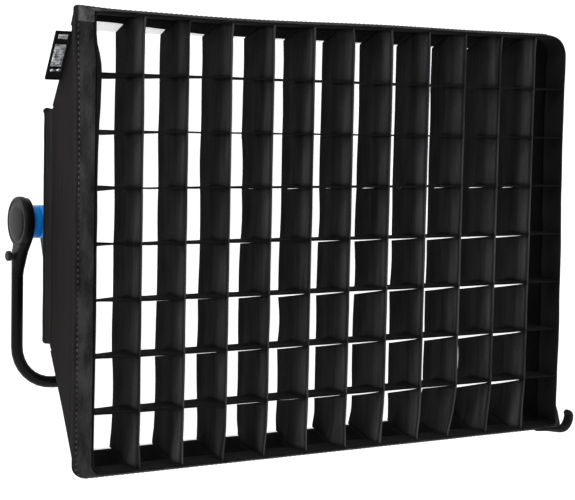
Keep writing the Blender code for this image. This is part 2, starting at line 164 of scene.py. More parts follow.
def fabric(name, dark, light, period=0.0009, axes="xz", rough=0.9, sheen=0.15, spec=0.12, patch=5.0, bump=0.35,
           wrinkle=0.25, streak=None):
    """Woven cloth: thread relief, soft creases, cloudy tone and a fuzzy sheen."""
    m, nt, b = new_mat(name)
    tc, sep, h = weave(nt, period, axes)
    cloud = node(nt, "ShaderNodeTexNoise", Scale=patch, Detail=5.0, Roughness=0.62)
    mp = nt.nodes.new("ShaderNodeMapping")
    nt.links.new(tc.outputs["Object"], mp.inputs["Vector"])
    mp.inputs["Scale"].default_value = streak or (1, 1, 1)
    nt.links.new(mp.outputs[0], cloud.inputs["Vector"])
    fleck = node(nt, "ShaderNodeTexNoise", Scale=420.0, Detail=2.0)
    nt.links.new(tc.outputs["Object"], fleck.inputs["Vector"])
    mixf = math_node(nt, "ADD", math_node(nt, "MULTIPLY", cloud.outputs[0], 0.8),
                     math_node(nt, "MULTIPLY", fleck.outputs[0], 0.2))
    col = ramp(nt, mixf, [(0.36, dark), (0.64, light)])
    nt.links.new(col, b.inputs["Base Color"])
    nt.links.new(ramp(nt, cloud.outputs[0], [(0.3, (rough - 0.08,)), (0.7, (min(rough + 0.06, 1.0),))]),
                 b.inputs["Roughness"])
    crease = node(nt, "ShaderNodeTexNoise", Scale=26.0, Detail=4.0, Roughness=0.55, Distortion=0.6)
    nt.links.new(mp.outputs[0], crease.inputs["Vector"])
    b1 = node(nt, "ShaderNodeBump", Strength=wrinkle, Distance=0.004)
    nt.links.new(crease.outputs[0], b1.inputs["Height"])
    b2 = node(nt, "ShaderNodeBump", Strength=bump, Distance=0.0003)
    nt.links.new(h, b2.inputs["Height"])
    nt.links.new(b1.outputs[0], b2.inputs["Normal"])
    nt.links.new(b2.outputs[0], b.inputs["Normal"])
    b.inputs["Specular IOR Level"].default_value = spec
    b.inputs["Sheen Weight"].default_value = sheen
    b.inputs["Sheen Roughness"].default_value = 0.45
    return m


def painted_light_by_depth(m, y0, y1, stops):
    """Multiplies a material's colour by a ramp along Y, from y0 to y1, painting light and shade along the depth."""
    nt = m.node_tree
    b = nt.nodes["Principled BSDF"]
    link = b.inputs["Base Color"].links[0]
    src = link.from_socket
    tc = nt.nodes.new("ShaderNodeTexCoord")
    sep = nt.nodes.new("ShaderNodeSeparateXYZ")
    nt.links.new(tc.outputs["Object"], sep.inputs[0])
    f = math_node(nt, "DIVIDE", math_node(nt, "SUBTRACT", sep.outputs[1], y0), y1 - y0)
    r = ramp(nt, f, stops)
    mx = nt.nodes.new("ShaderNodeMix")
    mx.data_type = "RGBA"
    mx.blend_type = "MULTIPLY"
    mx.inputs["Factor"].default_value = 1.0
    nt.links.new(src, mx.inputs["A"])
    nt.links.new(r, mx.inputs["B"])
    nt.links.new(mx.outputs["Result"], b.inputs["Base Color"])
    return m


M_WALL = fabric("wall_cloth", (0.0009, 0.0007, 0.0008), (0.0098, 0.0070, 0.0072), 0.0009, "yz", spec=0.02,
                sheen=0.003, streak=(1, 3.6, 0.6), patch=11.0, wrinkle=0.8)
M_RIM = fabric("rim_tape", (0.0030, 0.0030, 0.0033), (0.0300, 0.0292, 0.0302), 0.0013, "xz", sheen=0.02, spec=0.04,
               patch=34.0, wrinkle=1.0, bump=0.6, streak=(1.6, 1.0, 0.5))
# Painted shade: the rim's colour is darkened behind its front face, on its outer side and back.
painted_light_by_depth(M_RIM, FRONT_Y + 0.0240, FRONT_Y + 0.0400, [(0.0, (1.0,)), (0.14, (0.9,)), (0.28, (0.30,)), (1.0, (0.25,))])
M_COLLAR = fabric("collar_cloth", (0.0030, 0.0030, 0.0033), (0.0085, 0.0080, 0.0086), 0.0011, "xz", sheen=0.015,
                  spec=0.05, patch=14.0, wrinkle=0.8)
# Painted light and shade: this cloth is lighter than the other black cloths, and its depth ramp paints a highlight on
# the front hem, a dark line behind it, a lit band, and shade deepening towards the back.
M_SLAT = fabric("slat_cloth", (0.0050, 0.0050, 0.0053), (0.0225, 0.0225, 0.0232), 0.0007, "yz", sheen=0.010,
                spec=0.04, patch=9.0, streak=(1, 4.0, 0.45), wrinkle=0.5)
painted_light_by_depth(M_SLAT, FRONT_Y, FRONT_Y + V_DEPTH,
         [(0.0, (2.3,)), (0.025, (1.9,)), (0.050, (0.55,)), (0.12, (2.7,)), (0.27, (2.3,)), (0.40, (1.25,)),
          (0.68, (1.05,)), (0.86, (0.7,)), (1.0, (0.22,))])
M_LEVEL = fabric("level_slat_cloth", (0.0022, 0.0022, 0.0024), (0.0060, 0.0060, 0.0063), 0.0007, "xy", sheen=0.005,
                 spec=0.03, patch=7.0, streak=(0.4, 3.0, 1.0), wrinkle=0.3)
M_BAND = fabric("grid_band", (0.0030, 0.0030, 0.0032), (0.0075, 0.0075, 0.0079), 0.0011, "yz", sheen=0.008,
                spec=0.04, patch=12.0, wrinkle=0.5)
M_LIP = fabric("lip_cloth", (0.0022, 0.0022, 0.0024), (0.0060, 0.0060, 0.0064), 0.0010, "xz", sheen=0.005,
               spec=0.03, patch=16.0, wrinkle=0.6)
M_THREAD = fabric("thread", (0.014, 0.014, 0.015), (0.080, 0.080, 0.083), 0.0003, "xz", rough=0.7, sheen=0.05,
                  spec=0.2, wrinkle=0.0, bump=0.1, patch=30.0)
M_PIPING = fabric("seam_piping", (0.0028, 0.0028, 0.0030), (0.0070, 0.0070, 0.0074), 0.0012, "yz", sheen=0.01,
                  spec=0.05)
# Painted highlights: the folded end of the black corner tape is coloured lighter, with streaks of light on its folds.
M_FOLD = fabric("corner_fold_cloth", (0.0100, 0.0100, 0.0103), (0.0750, 0.0740, 0.0760), 0.0011, "xz", sheen=0.03,
                spec=0.08, patch=60.0, wrinkle=0.8)
M_SILVER = fabric("silver_liner_cloth", (0.52, 0.53, 0.54), (0.74, 0.75, 0.76), 0.0040, "xz", rough=0.42,
                  sheen=0.0, spec=0.6, patch=8.0, wrinkle=0.8, bump=0.8)
M_SILVER.node_tree.nodes["Principled BSDF"].inputs["Metallic"].default_value = 0.55


def diffusion(name, glow):
    m = fabric(name, (0.90, 0.90, 0.90), (0.96, 0.96, 0.955), 0.0008, "xz", rough=0.8, sheen=0.05, spec=0.2,
               patch=3.0, wrinkle=0.08, bump=0.15)
    b = m.node_tree.nodes["Principled BSDF"]
    # Painted light: the emission makes these cloths glow in place of the lamp's light shining through them. The hem and
    # baffle glow less.
    b.inputs["Emission Color"].default_value = (1.0, 1.0, 1.0, 1)
    b.inputs["Emission Strength"].default_value = glow
    return m


M_DIFF = diffusion("front_diffusion_cloth", 0.85)
M_HEM = diffusion("diffusion_hem", 0.45)
M_BAFFLE = diffusion("baffle_cloth", 0.4)


def hard(name, dark, light, rough, metal=0.0, grain=900.0, bump=0.12, coat=0.0, scratch=0.0, spec=0.5, patch=6.0):
    """Painted, moulded or turned surface: orange peel, cloudy gloss and rubbed marks."""
    m, nt, b = new_mat(name)
    tc = nt.nodes.new("ShaderNodeTexCoord")
    cloud = node(nt, "ShaderNodeTexNoise", Scale=patch, Detail=6.0, Roughness=0.65)
    nt.links.new(tc.outputs["Object"], cloud.inputs["Vector"])
    fine = node(nt, "ShaderNodeTexNoise", Scale=grain, Detail=2.0)
    nt.links.new(tc.outputs["Object"], fine.inputs["Vector"])
    rub = node(nt, "ShaderNodeTexNoise", Scale=60.0, Detail=8.0, Roughness=0.7)
    mp = nt.nodes.new("ShaderNodeMapping")
    mp.inputs["Scale"].default_value = (1.0, 6.0, 0.3)
    nt.links.new(tc.outputs["Object"], mp.inputs["Vector"])
    nt.links.new(mp.outputs[0], rub.inputs["Vector"])
    f = math_node(nt, "ADD", cloud.outputs[0], math_node(nt, "MULTIPLY", math_node(nt, "SUBTRACT", rub.outputs[0], 0.5),
                                                         scratch))
    nt.links.new(ramp(nt, f, [(0.35, dark), (0.68, light)]), b.inputs["Base Color"])
    nt.links.new(ramp(nt, rub.outputs[0], [(0.3, (max(rough - 0.10, 0.02),)), (0.7, (min(rough + 0.10, 1),))]),
                 b.inputs["Roughness"])
    bp = node(nt, "ShaderNodeBump", Strength=bump, Distance=0.0004)
    nt.links.new(fine.outputs[0], bp.inputs["Height"])
    nt.links.new(bp.outputs[0], b.inputs["Normal"])
    b.inputs["Metallic"].default_value = metal
    b.inputs["Coat Weight"].default_value = coat
    b.inputs["Specular IOR Level"].default_value = spec
    return m


M_YOKE = hard("yoke_powder_coat", (0.0022, 0.0020, 0.0021), (0.0060, 0.0055, 0.0055), 0.36, 0.0, 700, 0.2, scratch=0.5,
              spec=0.07)
M_BLUE = hard("blue_moulding", (0.002, 0.170, 0.60), (0.004, 0.240, 0.78), 0.42, 0.0, 1200, 0.08, 0.10, spec=0.25)
M_TEAL = hard("bracket_moulding", (0.002, 0.018, 0.034), (0.005, 0.034, 0.062), 0.5, 0.0, 1100, 0.15, spec=0.12)
M_HEAD = hard("lamp_paint", (0.028, 0.029, 0.033), (0.045, 0.046, 0.052), 0.5, 0.0, 600, 0.3, scratch=0.4)
M_FIN = hard("black_anodised", (0.020, 0.020, 0.023), (0.034, 0.034, 0.038), 0.42, 0.75, 900, 0.1, scratch=0.8)
M_PLASTIC = hard("black_moulding", (0.012, 0.012, 0.013), (0.022, 0.022, 0.024), 0.5, 0.0, 1000, 0.25)
M_RUBBER = hard("knob_rubber_skin", (0.005, 0.005, 0.0055), (0.012, 0.012, 0.0125), 0.62, 0.0, 500, 0.35, spec=0.2)
M_STEEL = hard("turned_steel", (0.30, 0.31, 0.33), (0.48, 0.49, 0.51), 0.34, 1.0, 1500, 0.05, scratch=0.7)
M_OPAL = hard("opal_front", (0.86, 0.86, 0.86), (0.93, 0.93, 0.93), 0.35, 0.0, 800, 0.05)
M_ROD = hard("glassfibre", (0.030, 0.030, 0.032), (0.060, 0.060, 0.064), 0.4, 0.0, 400, 0.3)
# Painted reflections: the clear film is coloured in patches from near black to near white, in place of the highlights
# and reflections on the window.
M_VINYL = hard("clear_film", (0.10, 0.105, 0.11), (0.78, 0.80, 0.82), 0.16, 0.0, 300, 0.3, 0.6, scratch=1.2,
               patch=95.0)
M_SNAP = hard("nickel_snap", (0.55, 0.56, 0.57), (0.80, 0.81, 0.82), 0.25, 0.85, 900, 0.05)
for name, mat in (("yoke_tube", M_YOKE), ("yoke_end_left", M_YOKE), ("yoke_end_right", M_YOKE), ("yoke_base", M_YOKE),
                  ("spigot", M_STEEL), ("arm_knob_left", M_RUBBER), ("arm_knob_right", M_RUBBER),
                  ("dial_upper", M_RUBBER), ("dial_lower", M_RUBBER), ("lamp_housing", M_HEAD),
                  ("heat_sink", M_FIN), ("accessory_bezel", M_FIN), ("lamp_lens", M_OPAL),
                  ("tilt_bracket_left", M_TEAL), ("tilt_bracket_right", M_TEAL), ("pivot_boss_left", M_BLUE),
                  ("pivot_boss_right", M_BLUE), ("control_panel", M_PLASTIC), ("power_inlet", M_PLASTIC),
                  ("strut_top_left", M_ROD), ("strut_top_right", M_ROD), ("strut_bottom_left", M_ROD),
                  ("strut_bottom_right", M_ROD)):
    o = NODES[name]
    o.data.materials.clear()
    o.data.materials.append(mat)


# ---- mesh helpers ---------------------------------------------------------------------
def make(name, verts, faces, mat, body, replaces=(), thick=None, offset=0.0, weights=None, level=0,
         fix=True):
    bm = bmesh.new()
    vs = [bm.verts.new(v) for v in verts]
    for f in faces:
        bm.faces.new([vs[i] for i in f])
    if fix:
        bmesh.ops.recalc_face_normals(bm, faces=bm.faces)
    me = bpy.data.meshes.new(name)
    bm.to_mesh(me)
    bm.free()
    me.materials.append(mat)
    me.shade_smooth()
    ob = bpy.data.objects.new(name, me)
    scene.collection.objects.link(ob)
    if thick:
        md = ob.modifiers.new("thickness", "SOLIDIFY")
        md.thickness, md.offset = thick, offset
        md.use_even_offset = False
        if weights:
            g = ob.vertex_groups.new(name="thick")
            for i, w in enumerate(weights):
                g.add([i], w, "REPLACE")
            md.vertex_group = "thick"
    if level:
        md = ob.modifiers.new("smooth", "SUBSURF")
        md.levels = md.render_levels = level
    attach(ob, body)
    if replaces:
        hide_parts(*replaces)
    return ob


def area_of(verts, faces):
    a = 0.0
    for f in faces:
        v = [verts[i] for i in f]
        for k in range(1, len(v) - 1):
            a += (v[k] - v[0]).cross(v[k + 1] - v[0]).length / 2
    return a


def grid_faces(nu, nv, base=0, wrap=False):
    """Quads of a grid stored u-major, nu by nv points."""
    out = []
    for i in range(nu if wrap else nu - 1):
        for j in range(nv - 1):
            a, b = i * nv + j, ((i + 1) % nu) * nv + j
            out.append([base + a, base + b, base + b + 1, base + a + 1])
    return out


def outline(x, ht, hb, radii, nlong=60, nshort=46, narc=10):
    """Rounded rectangle as (x, h, side, t), anticlockwise from the lower left; radii: tl, tr, br, bl."""
    tl, tr, br, bl = radii
    pts = []

    def run(a, b, n, side):
        for i in range(n):
            t = i / n
            pts.append((a[0] + (b[0] - a[0]) * t, a[1] + (b[1] - a[1]) * t, side, t))

    def arc(cx, cz, r, a0, side):
        for i in range(narc):
            a = math.radians(a0 + 90 * i / narc)
            pts.append((cx + r * math.cos(a), cz + r * math.sin(a), side, i / narc))
    run((-x + bl, hb), (x - br, hb), nlong, "b")
    arc(x - br, hb + br, br, -90, "br")
    run((x, hb + br), (x, ht - tr), nshort, "r")
    arc(x - tr, ht - tr, tr, 0, "tr")
    run((x - tr, ht), (-x + tl, ht), nlong, "t")
    arc(-x + tl, ht - tl, tl, 90, "tl")
    run((-x, ht - tl), (-x, hb + bl), nshort, "l")
    arc(-x + bl, hb + bl, bl, 180, "bl")
    return pts


def top_sag(x):
    """The top hem hangs a little between the corners, most left of the middle."""
    t = (x + RIM_X) / (2 * RIM_X)
    return 0.0042 * math.exp(-((t - 0.30) / 0.22) ** 2) + 0.0012 * math.exp(-((t - 0.75) / 0.12) ** 2)


def tl_point(x, h, q=1.0):
    """The upper left corner is pulled out to a point by the seam."""
    dx = -0.0044 * math.exp(-((h - 0.322) / 0.085) ** 2) if x < -0.425 else 0.0
    dh = 0.0030 * math.exp(-((x + 0.4467) / 0.030) ** 2) if h > 0.3 else 0.0
    return x + dx * q, h + dh * q


def open_left(x, h):
    """The opening is a little wider to the left beside the first row."""
    return -0.0044 * smooth((h - 0.262) / 0.030) * smooth((-x - 0.40) / 0.02)


def side_of(pt):
    return {"b": (0, -1), "r": (1, 0), "t": (0, 1), "l": (-1, 0)}.get(pt[2])


def stitches(name, points, normals, body, gap=0.0046, length=0.0026, width=0.0007, mat=None):
    """A row of raised thread ends along a path."""
    verts, faces = [], []
    acc, k = 0.0, 0
    for i in range(len(points) - 1):
        a, b = points[i], points[i + 1]
        seg = (b - a).length
        if seg < 1e-6:
            continue
        t = (b - a) / seg
        n = normals[i].normalized()
        s = t.cross(n).normalized()
        while acc < seg:
            c = a + t * acc
            base = len(verts)
            for e, w, hgt in ((-0.5, 0.35, -0.1), (-0.25, 1.0, 0.25), (0.25, 1.0, 0.25), (0.5, 0.35, -0.1)):
                for sg in (-1, 1):
                    verts.append(c + t * (e * length) + s * (sg * width * w / 2) + n * (hgt * width))
            for q in range(3):
                faces.append([base + 2 * q, base + 2 * q + 1, base + 2 * q + 3, base + 2 * q + 2])
            acc += gap
        acc -= seg
    return make(name, verts, faces, mat or M_THREAD, body, thick=0.0004, offset=-1.0)


# ---- egg-crate grid -------------------------------------------------------------------
rows_h = [GRID_HZ - CELL_Z * j for j in range(N_ROWS + 1)]
cols_x = [-GRID_HX + CELL_X * i for i in range(N_COLS + 1)]
FRONT_H = 0.3252


def right_pull(h):
    """The right side of the frame leans in towards the top."""
    pts = ((-0.40, 0.0), (-0.325, 0.0), (-0.28, 0.0022), (-0.16, 0.0016), (-0.03, 0.0034), (0.08, 0.0062),
           (0.17, 0.0078), (0.28, 0.0072), (0.40, 0.0066))
    for (a, va), (b, vb) in zip(pts, pts[1:]):
        if h <= b:
            return va + (vb - va) * smooth((h - a) / (b - a))
    return pts[-1][1]


def lean(x, h, f=1.0):
    return x - right_pull(h) * smooth((x - 0.375) / 0.04) * f


def droop(col, row):
    """How far a slat's rear upper corner hangs below the level slat over it."""
    base = (0.0, 0.0, 0.0024, 0.0078, 0.0125, 0.0180, 0.0215, 0.0245)[row]
    ease = smooth((col - (0.6 if row > 4 else 1.6)) / 1.6) if row < 7 else smooth((col - 0.2) / 1.2)
    return base * (0.25 + 0.75 * ease) * (0.80 + 0.28 * col / 11.0) * (0.92 + 0.16 * nz(col * 1.7, row * 2.3, 4.1))


def level_sag(x, d, j):
    """Level slats hang a little between the upright ones, and droop at the back by the left end."""
    t = (x + GRID_HX) / CELL_X
    f = abs(math.sin(math.pi * t))
    s = -(0.0002 + 0.0008 * smooth(d / H_DEPTH)) * f * (1.0 + 0.5 * nz(x * 9, j * 3.1, 0.5))
    s -= (0.0052, 0.0046, 0.0030, 0.0016, 0.0, 0.0, 0.0)[j - 1] * smooth(d / H_DEPTH) * (1 - smooth((t - 0.35) / 2.4))
    s += (0.0, 0.0015, 0.0070, 0.0085, 0.0050, 0.0036, 0.0030)[j - 1] * (1 - smooth(t / 0.95)) * (0.45 - d / H_DEPTH)
    return s + 0.0009 * nz(x * 7, 1.7, j * 2.0) * smooth(d / H_DEPTH)


FOOT_LEAN = (0.0010, 0.0016, 0.0012, 0.0022, 0.0018, 0.0030, 0.0055, 0.0020, 0.0130, 0.0095, 0.0065)
for i in range(1, N_COLS):
    verts, faces, w = [], [], []
    bows = [0.0026 * nz(i * 3.3, j * 1.9, 7.7) + 0.0004 for j in range(N_ROWS)]
    shift = [0.0022 * nz(i * 2.1, j * 1.3, 1.3) for j in range(N_ROWS + 1)]
    for j in range(N_ROWS):
        ht, hb = rows_h[j], rows_h[j + 1]
        nu, nv = 15, 13
        g = droop(i, j)
        base = len(verts)
        sg = top_sag(cols_x[i])
        for u in range(nu):
            fu = (u / (nu - 1)) ** 1.25
            d = 0.0010 + (V_DEPTH - 0.0010) * fu
            dl = min(d, H_DEPTH)
            lo = hb + level_sag(cols_x[i], dl, j + 1) if j < N_ROWS - 1 else hb
            lo -= 0.21 * max(d - H_DEPTH, 0) + 0.0022 * smooth((d - H_DEPTH) / 0.004)
            if j == N_ROWS - 1:
                lo = -FRONT_H + 0.0158 * max(d - 0.040, 0) / 0.0526
            hi = ht + (level_sag(cols_x[i], dl, j) if j else 0) - g * (d / V_DEPTH) ** 0.9
            hi += 0.0022 * smooth((d - H_DEPTH) / 0.004) * (1.0 if g < 0.001 else 0.0)
            if j == 0:
                hi = min(FRONT_H, 0.3284 - 0.0230 * max(d - 0.0466, 0) / 0.0472 - 0.0021)
                hi -= sg * smooth((0.0945 - d) / 0.048)
            for v in range(nv):
                fv = v / (nv - 1)
                h = lo + (hi - lo) * fv
                c = math.sin(math.pi * fv)
                x = cols_x[i] + bows[j] * c * smooth(fu * 1.2)
                x += (shift[j + 1] + (shift[j] - shift[j + 1]) * fv) * fu
                x += 0.0014 * math.sin(math.pi * fu) * c
                x += 0.0007 * nz(i * 5.0, d * 55, h * 14)
                if j == 0:
                    pleat = smooth((fv - 0.70) / 0.30)
                    x += 0.0020 * pleat * math.sin(fu * 13 + i * 0.7) * (1 - fu)
                if j == N_ROWS - 1:
                    x -= FOOT_LEAN[i - 1] * (1 - fv) ** 1.3 * (1 + (0.3 if i > 8 else -0.4) * fu)
                    pleat = smooth((0.55 - fv) / 0.55)
                    x += pleat * (0.0030 * math.sin(fu * 9.0 + i * 1.3) + 0.0022 * nz(i * 2.0, d * 60, 4.0))
                verts.append(P(x, d, h))
                w.append(1.0 if d < 0.0052 else 0.45)
        faces += grid_faces(nu, nv, base)
    ob = make("cloth_slat_vertical_%02d" % i, verts, faces, M_SLAT, "grid", ["slat_vertical_%02d" % i],
              thick=0.0022, weights=w)

for j in range(1, N_ROWS):
    verts, faces, w = [], [], []
    nx, nd = 12 * 8 + 1, 9
    x1 = GRID_HX - 0.0016
    for a in range(nx):
        x = -x1 + 2 * x1 * a / (nx - 1)
        for b in range(nd):
            d = 0.0012 + (H_DEPTH - 0.0012) * (b / (nd - 1)) ** 1.2
            h = rows_h[j] + level_sag(x, d, j) + 0.0003 * nz(x * 25, d * 30, j)
            verts.append(P(lean(x, h), d, h))
            w.append(1.0 if d < 0.0055 else 0.45)
    faces = grid_faces(nx, nd)
    ob = make("cloth_slat_level_%02d" % j, verts, faces, M_LEVEL, "grid", ["slat_level_%02d" % j],
              thick=0.0026, weights=w)

# the band round the grid, bowed in between the level slats
IN_R = (0.004, 0.030, 0.006, 0.016)
band_o = outline(GRID_HX + 0.0004, 0.3268, -0.3268, IN_R)
LEFT_BOW = (0.0006, 0.0012, 0.0052, 0.0040, 0.0018, 0.0006, 0.0002, 0.0006, 0.0002, 0.0004, 0.0006, 0.0004, 0.0000,
            -0.0004, -0.0008, -0.0010, -0.0004)
prof = [(0.0012, 0.0), (0.0002, 0.0006), (0.0002, 0.0013), (0.0012, 0.0017), (0.0240, 0.0016), (0.0445, 0.0015),
        (0.0450, 0.0009), (0.0440, 0.0001), (0.0200, 0.0001)]
nprof = len(prof)
verts = []
for x, h, side, t in band_o:
    s = {"b": (0, 1), "t": (0, -1), "l": (1, 0), "r": (-1, 0)}.get(side)
    if s is None:
        L = math.hypot(x, h)
        s = (-x / L, -h / L)
    for d, o in prof:
        bulge = 0.0
        if side == "l":
            c = min(max((GRID_HZ - h) / CELL_Z * 2, 0), 15.999)
            k = int(c)
            bulge = (LEFT_BOW[k] + (LEFT_BOW[k + 1] - LEFT_BOW[k]) * smooth(c - k)) * smooth(o / 0.0012)
        if side == "r":
            c = (GRID_HZ - h) / CELL_Z
            bulge = 0.0012 * abs(math.sin(math.pi * c)) * (1.0 + 0.5 * nz(3, c, 1)) * smooth(o / 0.0012)
        if side in ("t", "b"):
            bulge = 0.0005 * nz(x * 30, d * 20, 2) * smooth(o / 0.0012)
        hh = h + s[1] * (o + bulge) - (top_sag(x) if h > 0.30 else 0)
        xx = x + s[0] * (o + bulge)
        verts.append(P(lean(xx, h) + open_left(xx, h), d, hh))
n = len(band_o)
faces = []
for i in range(n):
    for k in range(nprof):
        a, b = i * nprof, ((i + 1) % n) * nprof
        faces.append([a + k, b + k, b + (k + 1) % nprof, a + (k + 1) % nprof])
ob = make("cloth_grid_band", verts, faces, M_BAND, "grid",
          ["grid_border_left", "grid_border_right", "grid_border_top", "grid_border_bottom"])

# ---- rim ------------------------------------------------------------------------------
OUT_R = (0.0045, 0.044, 0.008, 0.017)
inner = outline(GRID_HX + 0.0011, 0.3276, -0.3276, IN_R)
outer = outline(RIM_X, RIM_TOP, RIM_BOT, OUT_R)
rim_prof = [(0.02, 0.0440), (0.00, 0.0250), (0.00, 0.0100), (0.01, 0.0052), (0.05, 0.0030), (0.12, 0.0026),
            (0.20, 0.0034), (0.30, 0.0056), (0.40, 0.0082), (0.50, 0.0114), (0.60, 0.0148), (0.70, 0.0186),
            (0.80, 0.0226), (0.865, 0.0254), (0.895, 0.0277), (0.915, 0.0279), (0.94, 0.0266), (0.98, 0.0290),
            (1.0, 0.0335), (0.99, 0.0390), (0.94, 0.0440), (0.60, 0.0452), (0.25, 0.0452)]
nprof = len(rim_prof)
verts = []
rim_seam, rim_seam_n = [], []
for i, (a, b) in enumerate(zip(inner, outer)):
    for q, d in rim_prof:
        x, h = a[0] + (b[0] - a[0]) * q, a[1] + (b[1] - a[1]) * q
        vis = smooth(q / 0.15) * smooth((0.040 - d) / 0.01)
        pleat = 0.0013 * nz(x * 14, q * 7.0, h * 14) + 0.0008 * nz(x * 45, q * 11, h * 45)
        if b[2] in ("l", "r"):
            pleat += 0.0008 * math.sin(q * 26 + 2.0 * nz(0, h * 8, 1)) * (0.6 + 0.6 * nz(2, h * 5, 3)) * vis
        corner = b[2] in ("tl", "bl") or (b[2] == "t" and x < -0.40) or (b[2] == "l" and abs(h) > 0.300)
        if corner:
            pleat += 0.0016 * nz(x * 90, q * 5, h * 90)
        if h > 0.30:
            h -= top_sag(x)
        x, h = tl_point(x, h, q * q)
        verts.append(P(lean(x, h) + open_left(x, h) * max(1 - q, 0) ** 1.2, d - pleat * vis, h))
    x, h = a[0] + (b[0] - a[0]) * 0.912, a[1] + (b[1] - a[1]) * 0.912
    if h > 0.30:
        h -= top_sag(x)
    x, h = tl_point(x, h, 0.85)
    rim_seam.append(P(lean(x, h), 0.0272, h))
    o = Vector((b[0] - a[0], 0, b[1] - a[1])).normalized()
    rim_seam_n.append((o * 0.7 + Vector((0, -0.7, 0))).normalized())
n = len(inner)
faces = []
for i in range(n):
    for k in range(nprof):
        a, b = i * nprof, ((i + 1) % n) * nprof
        faces.append([a + k, b + k, b + (k + 1) % nprof, a + (k + 1) % nprof])
ob = make("cloth_rim", verts, faces, M_RIM, "softbox", ["rim_left", "rim_right", "rim_top", "rim_bottom"],
          level=1)
rim_seam.append(rim_seam[0])
rim_seam_n.append(rim_seam_n[0])
stitches("rim_stitching", rim_seam, rim_seam_n, "softbox", gap=0.0082, length=0.0044, width=0.0015)


def rim_front(x, h):
    """Depth of the rim's front face near its upper left corner."""
    q = max((-x - 0.4313) / 0.0154, (h - 0.3276) / 0.0064, 0.0)
    ks = sorted((a, b) for a, b in rim_prof[4:18])
    for (a, da), (b, db) in zip(ks, ks[1:]):
        if q <= b:
            return da + (db - da) * (q - a) / max(b - a, 1e-6)
    return ks[-1][1]


# the folded-over end of the corner tape
verts, faces, keep = [], [], {}
n1, n2 = 34, 26
for i in range(n1 + 1):
    for j in range(n2 + 1):
        x, h = -0.4450 + 0.0240 * i / n1, 0.3118 + 0.0212 * j / n2
        if x > -0.4318 and h < 0.3272 or x + 0.4450 > 0.0300 - (0.3330 - h) * 0.55:
            continue
        fold = 0.0011 * nz(x * 210, 3.0, h * 90) + 0.0006 * nz(x * 420, 5.0, h * 420)
        e = smooth(min(i / n1, 1 - i / n1, j / n2, 1 - j / n2) * 9)
        a, b = tl_point(x, h - top_sag(x), max(0.0, min(1.0, (-x - 0.4313) / 0.0154)) ** 2)
        a += open_left(x, h) * max(0.0, min(1.0, 1 - (-x - 0.4313) / 0.0154)) ** 1.2
        keep[i, j] = len(verts)
        verts.append(P(a, rim_front(x, h) - 0.0011 - (0.0010 + fold) * e, b))
for i in range(n1):
    for j in range(n2):
        q = [(i, j), (i + 1, j), (i + 1, j + 1), (i, j + 1)]
        if all(k in keep for k in q):
            faces.append([keep[k] for k in q])
used = sorted({k for f in faces for k in f})
back = {k: m for m, k in enumerate(used)}
verts, faces = [verts[k] for k in used], [[back[k] for k in f] for f in faces]
ob = make("corner_tape_fold", verts, faces, M_FOLD, "softbox", thick=0.0008)

# ---- tapering walls: one skin, stretched over the corner struts -------------------------
WF_R = (0.004, 0.041, 0.007, 0.015)
front = outline(RIM_X - 0.0046, RIM_TOP - 0.0053, RIM_BOT + 0.0053, WF_R)
rear = outline(REAR_X, REAR_TOP, REAR_BOT, (0.006, 0.006, 0.006, 0.006))
nd = 26
verts = []
for a, b in zip(front, rear):
    side = a[2]
    s = side_of(a)
    for k in range(nd):
        f = k / (nd - 1)
        d = RIM_BACK + 0.0008 + (REAR_D - RIM_BACK - 0.0008) * f
        x, h = a[0] + (b[0] - a[0]) * f, a[1] + (b[1] - a[1]) * f
        fl = smooth((0.0945 - d) / 0.0495)
        if side == "t":
            h -= top_sag(x) * fl
        if s:
            mid = math.sin(math.pi * a[3]) ** 0.7 * math.sin(math.pi * min(f, 1)) ** 0.8
            mid *= 0.35 + 0.65 * smooth((d - 0.100) / 0.060)
            inward = 0.0014 * mid
            fold = 0.0017 * nz(x * 6, d * 26, h * 4) * mid + 0.0006 * nz(x * 19, d * 55, h * 15) * mid
            rearf = smooth((f - 0.55) / 0.35) * (1 - smooth((f - 0.94) / 0.06))
            fold += 0.0010 * math.sin(d * 190 + 2.2 * nz(x * 4, 1.0, h * 5)) * rearf * mid ** 0.5
            if side in ("l", "r"):
                fold += 0.0009 * nz(1.0, d * 7 + h * 12, h * 2) * mid
            inward = min(max(inward - fold, -0.0014), 0.0030)
            x -= s[0] * inward
            h -= s[1] * inward
        x, h = tl_point(x, h, (1 - f) ** 1.5)
        verts.append(P(lean(x, h, fl), d, h))
n = len(front)
faces = grid_faces(n, nd, 0, wrap=True)
ob = make("cloth_wall", verts, faces, M_WALL, "softbox", ["skin_left", "skin_right", "skin_top", "skin_bottom"],
          thick=0.0018, offset=-1.0)

